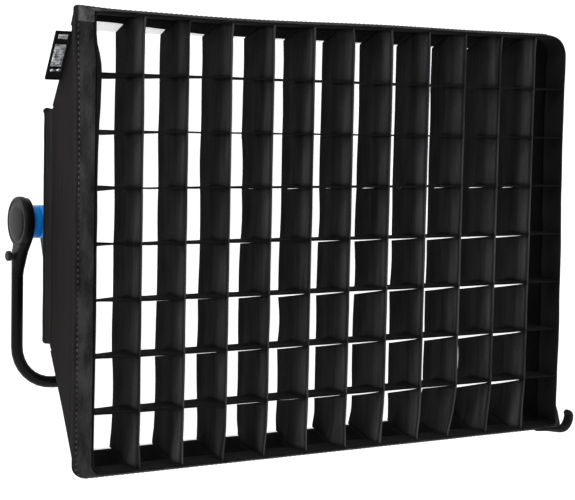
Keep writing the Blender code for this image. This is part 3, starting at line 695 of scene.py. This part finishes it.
# corner seams: a rolled edge at each corner; the upper left one also gets its row of thread
for key, sx, sz, rr in (("tl", -1, 1, 0.0), ("tr", 1, 1, 0.0125), ("bl", -1, -1, 0.0042), ("br", 1, -1, 0.0015)):
    path = []
    for k in range(40):
        f = k / 39
        d = 0.047 + (REAR_D - 0.047) * f
        pull = (rr * (1 - f) + 0.0010) * 1.0
        x, h = sx * (hx(d) - pull), (top(d) if sz > 0 else bot(d)) - sz * pull
        fl = smooth((0.0945 - d) / 0.0495)
        if sz > 0:
            h -= top_sag(x) * fl * 0.6
        x, h = tl_point(x, h, (1 - f) ** 1.5)
        path.append(P(lean(x, h, fl), d, h))
    ring, verts = 10, []
    nrm = Vector((sx, 0, sz)).normalized()
    for k, c in enumerate(path):
        t = (path[min(k + 1, 39)] - path[max(k - 1, 0)]).normalized()
        u = nrm.cross(t).normalized()
        v = t.cross(u).normalized()
        r = 0.0017 + 0.0002 * nz(k * 0.9, sx, sz)
        for i in range(ring):
            a = 2 * math.pi * i / ring
            verts.append(c + u * (r * math.cos(a)) + v * (r * math.sin(a)))
    faces = [[k * ring + i, k * ring + (i + 1) % ring, (k + 1) * ring + (i + 1) % ring, (k + 1) * ring + i]
             for k in range(39) for i in range(ring)]
    faces += [list(range(ring))[::-1], [39 * ring + i for i in range(ring)]]
    make("corner_seam_" + key, verts, faces, M_PIPING, "softbox")
    off = Vector((sx * -0.0010, 0, sz * -0.0072)) if key in ("tl", "bl") else Vector((0, 0, sz * -0.0072))
    if rr == 0.0:
        stitches("corner_thread_" + key, [p + off + Vector((sx * 0.0012, 0, 0)) for p in path],
                 [Vector((sx, 0.3, 0))] * 40, "softbox", gap=0.0052)

# ---- collar ---------------------------------------------------------------------------
secs = [(0.3780, -0.0010, REAR_TOP - 0.0014, REAR_BOT + 0.0014, 0.0),
        (0.3806, 0.0, REAR_TOP - 0.0006, REAR_BOT + 0.0006, 0.0), (0.3835, 0.0004, REAR_TOP - 0.0008, REAR_BOT + 0.0008, 0),
        (0.3862, 0.0, 0.1915, -0.1992, 0.3), (0.3900, -0.0008, 0.1894, -0.1972, 1.0), (0.3960, -0.0006, 0.1892, -0.1970, 1.0),
        (0.4030, -0.0002, 0.1896, -0.1974, 1.0), (0.4070, 0.0000, 0.1898, -0.1976, 0.8), (0.4082, -0.0012, 0.1886, -0.1964, 0.4),
        (0.4094, 0.0002, 0.1900, -0.1978, 0.6), (0.4140, 0.0012, 0.1908, -0.1986, 0.8), (0.4160, 0.0004, 0.1900, -0.1978, 0.4),
        (0.4164, -0.0022, 0.1872, -0.1950, 0.0), (0.4100, -0.0024, 0.1870, -0.1948, 0.0), (0.3782, -0.0024, 0.1870, -0.1948, 0.0)]
loops = []
for d, g, ht, hb, wv in secs:
    loop = outline(COLLAR_X + g, ht, hb, (0.007, 0.007, 0.007, 0.007))
    row = []
    for x, h, side, t in loop:
        s = side_of((x, h, side, t))
        if s:
            e = wv * (0.0009 * nz(x * 22, d * 60, h * 22) + 0.0004 * nz(x * 70, d * 40, h * 70))
            x, h = x + s[0] * e, h + s[1] * e
        elif side == "tl" and d > 0.408 and d < 0.4163:
            x, h = x - 0.0022, h + 0.0028
        row.append(P(x, d, h))
    loops.append(row)
n, m = len(loops[0]), len(loops)
verts = [loops[k][i] for i in range(n) for k in range(m)]
faces = []
for i in range(n):
    for k in range(m):
        a, b = i * m, ((i + 1) % n) * m
        faces.append([a + k, b + k, b + (k + 1) % m, a + (k + 1) % m])
ob = make("cloth_collar", verts, faces, M_COLLAR, "softbox", ["collar"], level=1)

# ---- front lip, liner, baffle and diffuser --------------------------------------------
def ring_sheet(name, stations, mat, replaces=(), thick=0.0008, crease=0.0006, nlong=60, nshort=46):
    """A band of cloth round the opening; stations are (d, x, top, bottom)."""
    loops = [outline(x, ht, hb, RING_R, nlong, nshort, 8) for d, x, ht, hb in stations]
    verts = []
    for i in range(len(loops[0])):
        for (d, *_), loop in zip(stations, loops):
            x, h, side, t = loop[i]
            f = smooth((0.0945 - d) / 0.048)
            e = crease * (nz(x * 30, d * 40, h * 30) + 0.6 * nz(x * 80, d * 30, h * 80))
            L = math.hypot(x, h)
            x, h = x - e * x / L, h - e * h / L - (top_sag(x) * f if h > 0.28 else 0)
            verts.append(P(lean(x, h, f), d, h))
    faces = grid_faces(len(loops[0]), len(stations), 0, wrap=True)
    ob = make(name, verts, faces, mat, "softbox", replaces, thick=thick)
    (d0, x0, t0, b0), (d1, x1, t1, b1) = stations[0], stations[-1]
    return ob, 2 * (2 * x0 + t0 - b0), math.hypot(d1 - d0, x0 - x1), area_of(verts, faces)


RING_R = (0.006, 0.036, 0.007, 0.014)


def lip_at(d):
    f = (d - 0.0466) / 0.0472
    return (d, 0.4320 + (0.4216 - 0.4320) * f, 0.3284 + (0.3054 - 0.3284) * f, -0.3284 + (0.3284 - 0.3104) * f)


ob, wide, long_, ar = ring_sheet("cloth_front_lip", [lip_at(d) for d in (0.0466, 0.0540, 0.0620, 0.0700, 0.0780, 0.0860, 0.0905)], M_LIP,
           ["reflective_liner"])
hem, *_ = ring_sheet("cloth_diffuser_hem", [lip_at(d) for d in (0.0908, 0.0922, 0.0940, 0.0952)], M_HEM)
HEM_FRONT = ((-0.4320, 0.0640), (-0.3750, 0.0665), (-0.2950, 0.0762), (-0.2250, 0.0850), (-0.1500, 0.0902),
             (-0.1000, 0.0908))
verts, n1, n2 = [], 60, 10
for i in range(n1 + 1):
    x = -0.4225 + 0.3225 * i / n1
    for (a, da), (b, db) in zip(HEM_FRONT, HEM_FRONT[1:]):
        if x <= b:
            dfront = da + (db - da) * (x - a) / (b - a)
            break
    for j in range(n2 + 1):
        d = dfront + (0.0925 - dfront) * j / n2
        h = 0.3284 - 0.0230 * (d - 0.0466) / 0.0472 - 0.0023 - top_sag(x) * smooth((0.0945 - d) / 0.048)
        verts.append(P(x, d, h + 0.0002 * nz(x * 40, d * 60, 1)))
top_fold = make("diffuser_top_fold", verts, grid_faces(n1 + 1, n2 + 1), M_HEM, "softbox", thick=0.0005)
f0 = outline(hx(0.0975) - 0.0070, top(0.0975) - 0.0070, bot(0.0975) + 0.0070, (0.028, 0.030, 0.030, 0.030), 40, 30, 6)
f1 = outline(hx(0.3720) - 0.0066, top(0.3720) - 0.0066, bot(0.3720) + 0.0066, (0.008, 0.008, 0.008, 0.008), 40, 30, 6)
verts, nd = [], 22
for a, b in zip(f0, f1):
    s = side_of(a)
    for k in range(nd):
        f = k / (nd - 1)
        x, h, d = a[0] + (b[0] - a[0]) * f, a[1] + (b[1] - a[1]) * f, 0.0975 + 0.2745 * f
        if s:
            mid = math.sin(math.pi * a[3]) ** 0.6 * math.sin(math.pi * f) ** 0.5
            e = (0.0016 + 0.0012 * nz(x * 14, d * 18, h * 14)) * mid
            x, h = x - s[0] * e, h - s[1] * e
        verts.append(P(x, d, h))
faces = grid_faces(len(f0), nd, 0, wrap=True)
ob = make("cloth_liner", verts, faces, M_SILVER, "softbox", thick=0.0006)
wide = 2 * (2 * hx(0.0975) + top(0.0975) - bot(0.0975)) - 0.056

for key, sx, sz, label in (("tl", -1, 1, "top_left"), ("tr", 1, 1, "top_right"), ("bl", -1, -1, "bottom_left"),
                           ("br", 1, -1, "bottom_right")):
    ring, verts = 14, []
    stn = [(0.0985, 0.0012), (0.0988, 0.0042), (0.1000, 0.0050), (0.1130, 0.0050), (0.1145, 0.0044), (0.1150, 0.0034)]
    stn += [(0.1160 + 0.2430 * k / 20, 0.0034) for k in range(21)]
    stn += [(0.3595, 0.0044), (0.3610, 0.0050), (0.3720, 0.0050), (0.3735, 0.0042), (0.3740, 0.0012)]
    for d, r in stn:
        inset = 0.0260 + (0.0140 - 0.0260) * (d - 0.0600) / 0.3140
        c = P(sx * (hx(d) - inset), d, (top(d) - inset) if sz > 0 else (bot(d) + inset))
        for k in range(ring):
            an = 2 * math.pi * k / ring
            verts.append(c + Vector((r * math.cos(an), 0, r * math.sin(an))))
    faces = [[a * ring + k, a * ring + (k + 1) % ring, (a + 1) * ring + (k + 1) % ring, (a + 1) * ring + k]
             for a in range(len(stn) - 1) for k in range(ring)]
    faces += [list(range(ring))[::-1], [(len(stn) - 1) * ring + k for k in range(ring)]]
    make("rod_" + label, verts, faces, M_ROD, "softbox", ["strut_" + label])


def stretched_sheet(name, node_name, x1, hb, ht, d0, cut, mat, nx=48, nh=36, amp=0.0008, cut_tr=None):
    bm = bmesh.new()
    pts = []
    for i in range(nx + 1):
        for j in range(nh + 1):
            x, h = -x1 + 2 * x1 * i / nx, hb + (ht - hb) * j / nh
            e = math.sin(math.pi * i / nx) * math.sin(math.pi * j / nh)
            d = d0 + amp * e * (1 + nz(x * 5, 3, h * 5)) + 0.0005 * nz(x * 18, 9, h * 18) * e ** 0.3
            pts.append(bm.verts.new(P(x, d, h)))
    for f in grid_faces(nx + 1, nh + 1):
        bm.faces.new([pts[k] for k in f])
    for sx in (-1, 1):
        for c, sz in ((ht, 1), (hb, -1)):
            k = cut_tr if cut_tr and (sx, sz) == (1, 1) else cut
            co = P(sx * (x1 - k), d0, c)
            bmesh.ops.bisect_plane(bm, geom=bm.verts[:] + bm.edges[:] + bm.faces[:], plane_co=co,
                                   plane_no=Vector((sx, 0, sz)), clear_outer=True)
    verts = [v.co.copy() for v in bm.verts]
    bm.verts.index_update()
    faces = [[v.index for v in f.verts] for f in bm.faces]
    bm.free()
    ob = make(name, verts, faces, mat, "softbox", [node_name], thick=0.0006)
    return ob


stretched_sheet("cloth_front_diffuser", "front_diffuser", 0.4208, -0.3097, 0.3047, 0.0960, 0.008, M_DIFF,
                cut_tr=0.024)
stretched_sheet("cloth_inner_baffle", "inner_baffle", 0.3655, -0.2460, 0.2395, 0.2505, 0.030, M_BAFFLE)

# ---- card pocket on the upper left seam -----------------------------------------------
PK0, PK1, PKW = 0.110, 0.275, 0.0250


def pk(s, w, below):
    """s runs down the seam, w outward across the pocket, both 0 to 1; below is under the wall's plane."""
    d = PK0 + (PK1 - PK0) * s
    return P(-hx(d) - 0.0006 - (PKW - 0.0006) * w, d, top(d) - below)


def pocket_sheet(name, s0, s1, w0, w1, mat, depth, thick, amp, replaces=(), n1=40, n2=14, crinkle=90):
    verts = []
    for i in range(n1 + 1):
        for j in range(n2 + 1):
            s, w = s0 + (s1 - s0) * i / n1, w0 + (w1 - w0) * j / n2
            e = min(1, 6 * min(i / n1, 1 - i / n1)) * min(1, 5 * min(j / n2, 1 - j / n2))
            b = depth + e * amp * (1 + 1.1 * nz(s * crinkle * 0.16, w * crinkle * 0.05, 5) + 0.7 * nz(s * crinkle * 0.4, w * crinkle * 0.1, 8))
            verts.append(pk(s, w, b))
    return make(name, verts, grid_faces(n1 + 1, n2 + 1), mat, "softbox", replaces, thick=thick)


backing = pocket_sheet("pocket_backing", 0.0, 1.0, 0.0, 1.0, M_PIPING, 0.0010, 0.0014, 0.0,
             ["card_pocket_back", "card_pocket_window"])
film = pocket_sheet("pocket_window", 0.24, 0.71, 0.07, 0.88, M_VINYL, 0.0022, 0.0004, 0.0011, n1=60, n2=20)
strip = pocket_sheet("pocket_label_strip", 0.045, 0.135, 0.16, 0.78, M_VINYL, 0.0022, 0.0004, 0.0005, n1=16, n2=14)


def welt(name, pts, r, closed, mat, body="softbox", ring=8):
    verts, n = [], len(pts)
    for k, c in enumerate(pts):
        a = pts[(k - 1) % n] if closed or k else c
        b = pts[(k + 1) % n] if closed or k < n - 1 else c
        t = (b - a).normalized()
        u = Vector((0.1, 0.2, 1)).cross(t).normalized()
        v = t.cross(u).normalized()
        for i in range(ring):
            an = 2 * math.pi * i / ring
            verts.append(c + u * (r * math.cos(an)) + v * (r * math.sin(an)))
    faces = []
    for k in range(n if closed else n - 1):
        q = (k + 1) % n
        for i in range(ring):
            j = (i + 1) % ring
            faces.append([k * ring + i, k * ring + j, q * ring + j, q * ring + i])
    if not closed:
        faces += [list(range(ring))[::-1], [(n - 1) * ring + i for i in range(ring)]]
    return make(name, verts, faces, mat, body)


def pk_loop(s0, s1, w0, w1, below, n=14):
    pts = []
    for i in range(n):
        pts.append(pk(s0 + (s1 - s0) * i / n, w0, below))
    for i in range(4):
        pts.append(pk(s1, w0 + (w1 - w0) * i / 4, below))
    for i in range(n):
        pts.append(pk(s1 + (s0 - s1) * i / n, w1, below))
    for i in range(4):
        pts.append(pk(s0, w1 + (w0 - w1) * i / 4, below))
    return pts


edge = welt("pocket_binding", pk_loop(0.012, 0.988, 0.06, 0.95, 0.0018), 0.0019, True, M_PIPING)
edge2 = welt("pocket_window_binding", pk_loop(0.225, 0.725, 0.05, 0.90, 0.0026), 0.0009, True, M_PIPING)
for i, (s, w) in enumerate(((0.780, 0.20), (0.790, 0.62))):
    c = pk(s, w, 0.0018)
    prof = [(0.0, 0.0046), (0.0008, 0.0047), (0.0015, 0.0040), (0.0019, 0.0026), (0.0021, 0.0010), (0.00212, 0.0001)]
    verts, ns = [], 20
    dn = Vector((0, -0.36, -0.93)).normalized()
    u = Vector((1, 0, 0))
    v = dn.cross(u)
    for a, r in prof:
        for k in range(ns):
            an = 2 * math.pi * k / ns
            verts.append(c + dn * a + u * (r * math.cos(an)) + v * (r * math.sin(an)))
    faces = [[a * ns + k, a * ns + (k + 1) % ns, (a + 1) * ns + (k + 1) % ns, (a + 1) * ns + k]
             for a in range(len(prof) - 1) for k in range(ns)]
    faces += [list(range(ns)), [(len(prof) - 1) * ns + k for k in range(ns)]]
    make("pocket_snap_%d" % (i + 1), verts, faces, M_SNAP, "softbox")

# ---- pull tab -------------------------------------------------------------------------
TAB = ((0.3960, -0.3335), (0.4180, -0.3352), (0.4360, -0.3382), (0.4500, -0.3402), (0.4610, -0.3388),
       (0.4695, -0.3330), (0.4742, -0.3245), (0.4752, -0.3150), (0.4712, -0.3082))


def catmull(p, t):
    n = len(p) - 1
    k = min(int(t * n), n - 1)
    f = t * n - k
    a, b, c, d = p[max(k - 1, 0)], p[k], p[k + 1], p[min(k + 2, n)]
    return tuple(0.5 * (2 * b[i] + (c[i] - a[i]) * f + (2 * a[i] - 5 * b[i] + 4 * c[i] - d[i]) * f * f
                        + (3 * b[i] - a[i] - 3 * c[i] + d[i]) * f ** 3) for i in range(2))


verts, nt_, nw = [], 60, 11
for i in range(nt_ + 1):
    t = i / nt_
    x, h = catmull(TAB, t)
    half = 0.0104 * (1.0 - 0.10 * t) * (1 - 0.35 * smooth((t - 0.94) / 0.06))
    for j in range(nw):
        f = j / (nw - 1) * 2 - 1
        cup = 0.0008 * (1 - f * f)
        verts.append(P(x - cup * 0.3, 0.0190 + half * f, h + cup + 0.0003 * nz(t * 30, f * 3, 2)))
ob = make("cloth_pull_tab", verts, grid_faces(nt_ + 1, nw), M_RIM, "softbox", ["corner_pull_tab"],
          thick=0.0046)

# the rim's lower right corner, drawn out to where the tab is sewn on
EAR = ((0.4400, -0.2860), (0.4478, -0.2960), (0.4512, -0.3080), (0.4548, -0.3200), (0.4578, -0.3300),
       (0.4572, -0.3392), (0.4470, -0.3398), (0.4300, -0.3372), (0.4130, -0.3352))
verts, faces = [], []
for k, (x, h) in enumerate(EAR):
    hub = (0.4395, -0.3290)
    for q, d in ((0.0, 0.0125), (0.45, 0.0135), (0.85, 0.0160), (1.0, 0.0205), (0.86, 0.0260), (0.4, 0.0275),
                 (0.0, 0.0280)):
        e = 0.0006 * nz(x * 120, q * 4, h * 120)
        verts.append(P(hub[0] + (x - hub[0]) * q, d - e, hub[1] + (h - hub[1]) * q))
faces = grid_faces(len(EAR), 7)
ob = make("rim_corner_ear", verts, faces, M_RIM, "softbox", level=0)
bm = bmesh.new()
bm.from_mesh(ob.data)
bmesh.ops.remove_doubles(bm, verts=bm.verts, dist=0.00005)
bmesh.ops.holes_fill(bm, edges=bm.edges, sides=40)
bmesh.ops.recalc_face_normals(bm, faces=bm.faces)
bm.to_mesh(ob.data)
bm.free()
md = ob.modifiers.new("smooth", "SUBSURF")
md.levels = md.render_levels = 2


# ---- pivots ---------------------------------------------------------------------------
def lathe_x(name, s_, prof, d0, h0, mat, body, replaces, segs=64):
    """Turned piece about an axis along X; prof is (|x|, radius) from one end to the other."""
    verts, faces = [], []
    for ax, r in prof:
        for k in range(segs):
            an = 2 * math.pi * k / segs
            verts.append(P(s_ * ax, d0 + r * math.cos(an), h0 + r * math.sin(an)))
    for a in range(len(prof) - 1):
        for k in range(segs):
            faces.append([a * segs + k, a * segs + (k + 1) % segs, (a + 1) * segs + (k + 1) % segs, (a + 1) * segs + k])
    faces += [list(range(segs))[::-1], [(len(prof) - 1) * segs + k for k in range(segs)]]
    return make(name, verts, faces, mat, body, replaces)


PIV_D, PIV_H = 0.480, 0.001
for lab, sg in (("left", -1), ("right", 1)):
    lathe_x("pivot_hub_" + lab, sg, [(0.3036, 0.0240), (0.3037, 0.0268), (0.3046, 0.0277), (0.3060, 0.0280),
                                     (0.3150, 0.0280), (0.3156, 0.0274), (0.3166, 0.0274), (0.3172, 0.0280),
                                     (0.3296, 0.0280), (0.3310, 0.0276), (0.3318, 0.0266), (0.3320, 0.0240)],
            PIV_D, PIV_H, M_BLUE, "head", ["pivot_boss_" + lab])
    lathe_x("yoke_cap_" + lab, sg, [(0.3400, 0.0400), (0.3410, 0.0420), (0.3440, 0.0428), (0.3500, 0.0427),
                                    (0.3520, 0.0420), (0.3533, 0.0404), (0.3540, 0.0380), (0.3541, 0.0345),
                                    (0.3535, 0.0338), (0.3535, 0.0330), (0.3542, 0.0322), (0.3552, 0.0240),
                                    (0.3559, 0.0150), (0.3562, 0.0060), (0.35625, 0.0010)],
            PIV_D, PIV_H, M_YOKE, "yoke", [])
    br = [(0.446, -0.062), (0.456, -0.074), (0.504, -0.074), (0.514, -0.062), (0.514, 0.012), (0.508, 0.022),
          (0.496, 0.028), (0.464, 0.028), (0.452, 0.022), (0.446, 0.012)]
    verts, nb = [], len(br)
    for d, h in br:
        verts.append(P(sg * 0.2857, d, h))
    for d, h in br:
        verts.append(P(sg * (0.3033 - 0.0135 * smooth((-0.018 - h) / 0.056)), d, h))
    faces = [list(range(nb))[::-1], [nb + k for k in range(nb)]]
    faces += [[k, (k + 1) % nb, nb + (k + 1) % nb, nb + k] for k in range(nb)]
    ob = make("head_bracket_" + lab, verts, faces, M_TEAL, "head", ["tilt_bracket_" + lab])
    md = ob.modifiers.new("soft_edges", "BEVEL")
    md.width, md.segments, md.limit_method = 0.0016, 3, "ANGLE"

# ---- lamp head's back -------------------------------------------------------------------
lo_b, hi_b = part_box("accessory_bezel")
lo_h, hi_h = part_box("lamp_housing")
loops = []
cz = GRID_Z
for x, ht, hb, y in ((hi_h[0] - 0.012, hi_h[2] - cz - 0.012, lo_h[2] - cz + 0.012, 0.4120),
                     (hi_b[0] - 0.0030, hi_b[2] - cz - 0.0030, lo_b[2] - cz + 0.0030, 0.4120),
                     (hi_b[0] - 0.0022, hi_b[2] - cz - 0.0022, lo_b[2] - cz + 0.0022, 0.4134),
                     (hi_b[0] - 0.0030, hi_b[2] - cz - 0.0030, lo_b[2] - cz + 0.0030, 0.4161),
                     (hi_h[0] + 0.0080, hi_h[2] - cz + 0.0080, lo_h[2] - cz - 0.0080, 0.4161),
                     (hi_h[0] + 0.0070, hi_h[2] - cz + 0.0070, lo_h[2] - cz - 0.0070, 0.4150),
                     (hi_h[0] - 0.012, hi_h[2] - cz - 0.012, lo_h[2] - cz + 0.012, 0.4150)):
    loops.append([P(a, y, b) for a, b, _, _ in outline(x, ht, hb, (0.006,) * 4, 24, 16, 6)])
n, m = len(loops[0]), len(loops)
verts = [loops[k][i] for i in range(n) for k in range(m)]
faces = [[i * m + k, ((i + 1) % n) * m + k, ((i + 1) % n) * m + (k + 1) % m, i * m + (k + 1) % m]
         for i in range(n) for k in range(m)]
ob = make("head_back_flange", verts, faces, M_HEAD, "head")
ob.data.shade_flat()


def button_head(name, c, r, mat, body, deep=0.0016):
    """Domed screw head with a hexagon socket, its axis along Y towards the back."""
    prof = [(0.0, r), (deep * 0.35, r), (deep * 0.75, r * 0.86), (deep, r * 0.58), (deep, r * 0.50)]
    verts, faces, ns = [], [], 24
    for a, q in prof:
        for k in range(ns):
            an = 2 * math.pi * k / ns
            verts.append(c + Vector((q * math.cos(an), a, q * math.sin(an))))
    for a in (deep, deep * 0.3):
        for k in range(ns):
            an = 2 * math.pi * k / ns
            q = r * 0.44 / max(math.cos((an % (math.pi / 3)) - math.pi / 6), 0.5)
            verts.append(c + Vector((q * math.cos(an), a, q * math.sin(an))))
    for a in range(len(prof) + 1):
        for k in range(ns):
            faces.append([a * ns + k, a * ns + (k + 1) % ns, (a + 1) * ns + (k + 1) % ns, (a + 1) * ns + k])
    faces += [list(range(ns))[::-1], [(len(prof) + 1) * ns + k for k in range(ns)]]
    make(name, verts, faces, mat, body)


lo_p, hi_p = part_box("control_panel")
k = 0
for x in (lo_p[0] + 0.007, hi_p[0] - 0.007):
    for z in (lo_p[2] + 0.007, hi_p[2] - 0.007):
        k += 1
        button_head("panel_screw_%d" % k, Vector((x, hi_p[1] - 0.0001, z)), 0.0032, M_FIN, "head")
for lab, zz in (("upper", None), ("lower", None)):
    lo_d, hi_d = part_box("dial_" + lab)
    c = Vector(((lo_d[0] + hi_d[0]) / 2, hi_p[1], (lo_d[2] + hi_d[2]) / 2))
    verts, faces = [], []
    for q in range(11):
        an = math.radians(-60 + 30 * q)
        u, v = Vector((math.cos(an), 0, math.sin(an))), Vector((-math.sin(an), 0, math.cos(an)))
        base = len(verts)
        r0, r1, w_ = 0.0150, 0.0176 if q % 5 else 0.0190, 0.0004
        for y in (0.0, 0.0003):
            for rr_, sw in ((r0, -1), (r1, -1), (r1, 1), (r0, 1)):
                verts.append(c + u * rr_ + v * (sw * w_) + Vector((0, y, 0)))
        faces += [[base, base + 1, base + 2, base + 3], [base + 7, base + 6, base + 5, base + 4]]
        faces += [[base + a, base + (a + 1) % 4, base + 4 + (a + 1) % 4, base + 4 + a] for a in range(4)]
    make("dial_marks_" + lab, verts, faces, M_OPAL, "head", fix=True)
    tip = hi_d[1]
    verts = []
    for y in (-0.0012, 0.0004):
        for dx, dz in ((-0.0006, 0.0025), (0.0006, 0.0025), (0.0006, 0.0080), (-0.0006, 0.0080)):
            verts.append(Vector((c.x + dx, tip + y, c.z + dz)))
    make("dial_pointer_" + lab, verts, [[0, 1, 2, 3], [7, 6, 5, 4]] + [[a, (a + 1) % 4, 4 + (a + 1) % 4, 4 + a]
         for a in range(4)], M_OPAL, "dial_" + lab)

lo_i, hi_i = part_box("power_inlet")
ci = Vector(((lo_i[0] + hi_i[0]) / 2, hi_i[1], (lo_i[2] + hi_i[2]) / 2))
prof = [(0.0, 0.0143), (0.0022, 0.0140), (0.0030, 0.0130), (0.0030, 0.0116), (0.0022, 0.0110), (-0.0010, 0.0106)]
verts, faces, ns = [], [], 40
for a, q in prof:
    for k in range(ns):
        an = 2 * math.pi * k / ns
        verts.append(ci + Vector((q * math.cos(an), a, q * math.sin(an))))
faces = [[a * ns + k, a * ns + (k + 1) % ns, (a + 1) * ns + (k + 1) % ns, (a + 1) * ns + k]
         for a in range(len(prof) - 1) for k in range(ns)]
faces += [[(len(prof) - 1) * ns + k for k in range(ns)]]
make("inlet_collar", verts, faces, M_FIN, "head")
for k in range(3):
    an = math.radians(90 + 120 * k)
    button_head("inlet_pin_%d" % (k + 1), ci + Vector((0.0055 * math.cos(an), -0.0008, 0.0055 * math.sin(an))), 0.0016,
                M_SNAP, "head", 0.0030)

# ---- floor, backdrop and light --------------------------------------------------------
def floor():
    verts, faces = [], []
    n = 40
    for i in range(n + 1):
        for j in range(2):
            t = i / n
            if t < 0.6:
                y, z = -9 + 24 * t, -1.1
            else:
                a = (t - 0.6) / 0.4 * math.pi / 2
                y, z = 5.4 + 6 * math.sin(a), -1.1 + 6 * (1 - math.cos(a))
            verts.append(Vector((-16 + 32 * j, y, z)))
    faces = grid_faces(n + 1, 2)
    me = bpy.data.meshes.new("studio_sweep")
    me.from_pydata(verts, [], faces)
    me.shade_smooth()
    ob = bpy.data.objects.new("studio_sweep", me)
    scene.collection.objects.link(ob)
    m, nt, b = new_mat("studio_paper")
    tc = nt.nodes.new("ShaderNodeTexCoord")
    nse = node(nt, "ShaderNodeTexNoise", Scale=2.0, Detail=3.0)
    nt.links.new(tc.outputs["Object"], nse.inputs["Vector"])
    nt.links.new(ramp(nt, nse.outputs[0], [(0.3, (0.93, 0.93, 0.93)), (0.7, (0.96, 0.96, 0.96))]),
                 b.inputs["Base Color"])
    b.inputs["Roughness"].default_value = 0.95
    b.inputs["Specular IOR Level"].default_value = 0.1
    b.inputs["Emission Color"].default_value = (1, 1, 1, 1)
    b.inputs["Emission Strength"].default_value = 0.25
    me.materials.append(m)


floor()
world = bpy.data.worlds.new("studio")
scene.world = world
world.use_nodes = True
bg = world.node_tree.nodes["Background"]
bg.inputs[0].default_value = (1.0, 1.0, 1.0, 1)
bg.inputs[1].default_value = 1.0
scene.view_settings.view_transform = "Standard"
scene.view_settings.look = "None"


def area_light(name, loc, target, size, energy, color=(1, 1, 1)):
    L = bpy.data.lights.new(name, "AREA")
    L.shape, L.size, L.size_y = "RECTANGLE", size[0], size[1]
    L.energy, L.color = energy, color
    o = bpy.data.objects.new(name, L)
    scene.collection.objects.link(o)
    o.location = loc
    o.rotation_mode = "QUATERNION"
    o.rotation_quaternion = (Vector(target) - Vector(loc)).to_track_quat("-Z", "Y")
    return o


area_light("key", (-2.6, -2.2, 2.6), (0, -0.3, 0.4), (1.6, 1.6), 60)
area_light("front_fill", (1.6, -3.4, 1.2), (0, -0.4, 0.4), (2.0, 1.4), 25)
area_light("back_edge", (-2.2, 2.2, 1.8), (-0.3, 0, 0.4), (0.9, 1.6), 35)
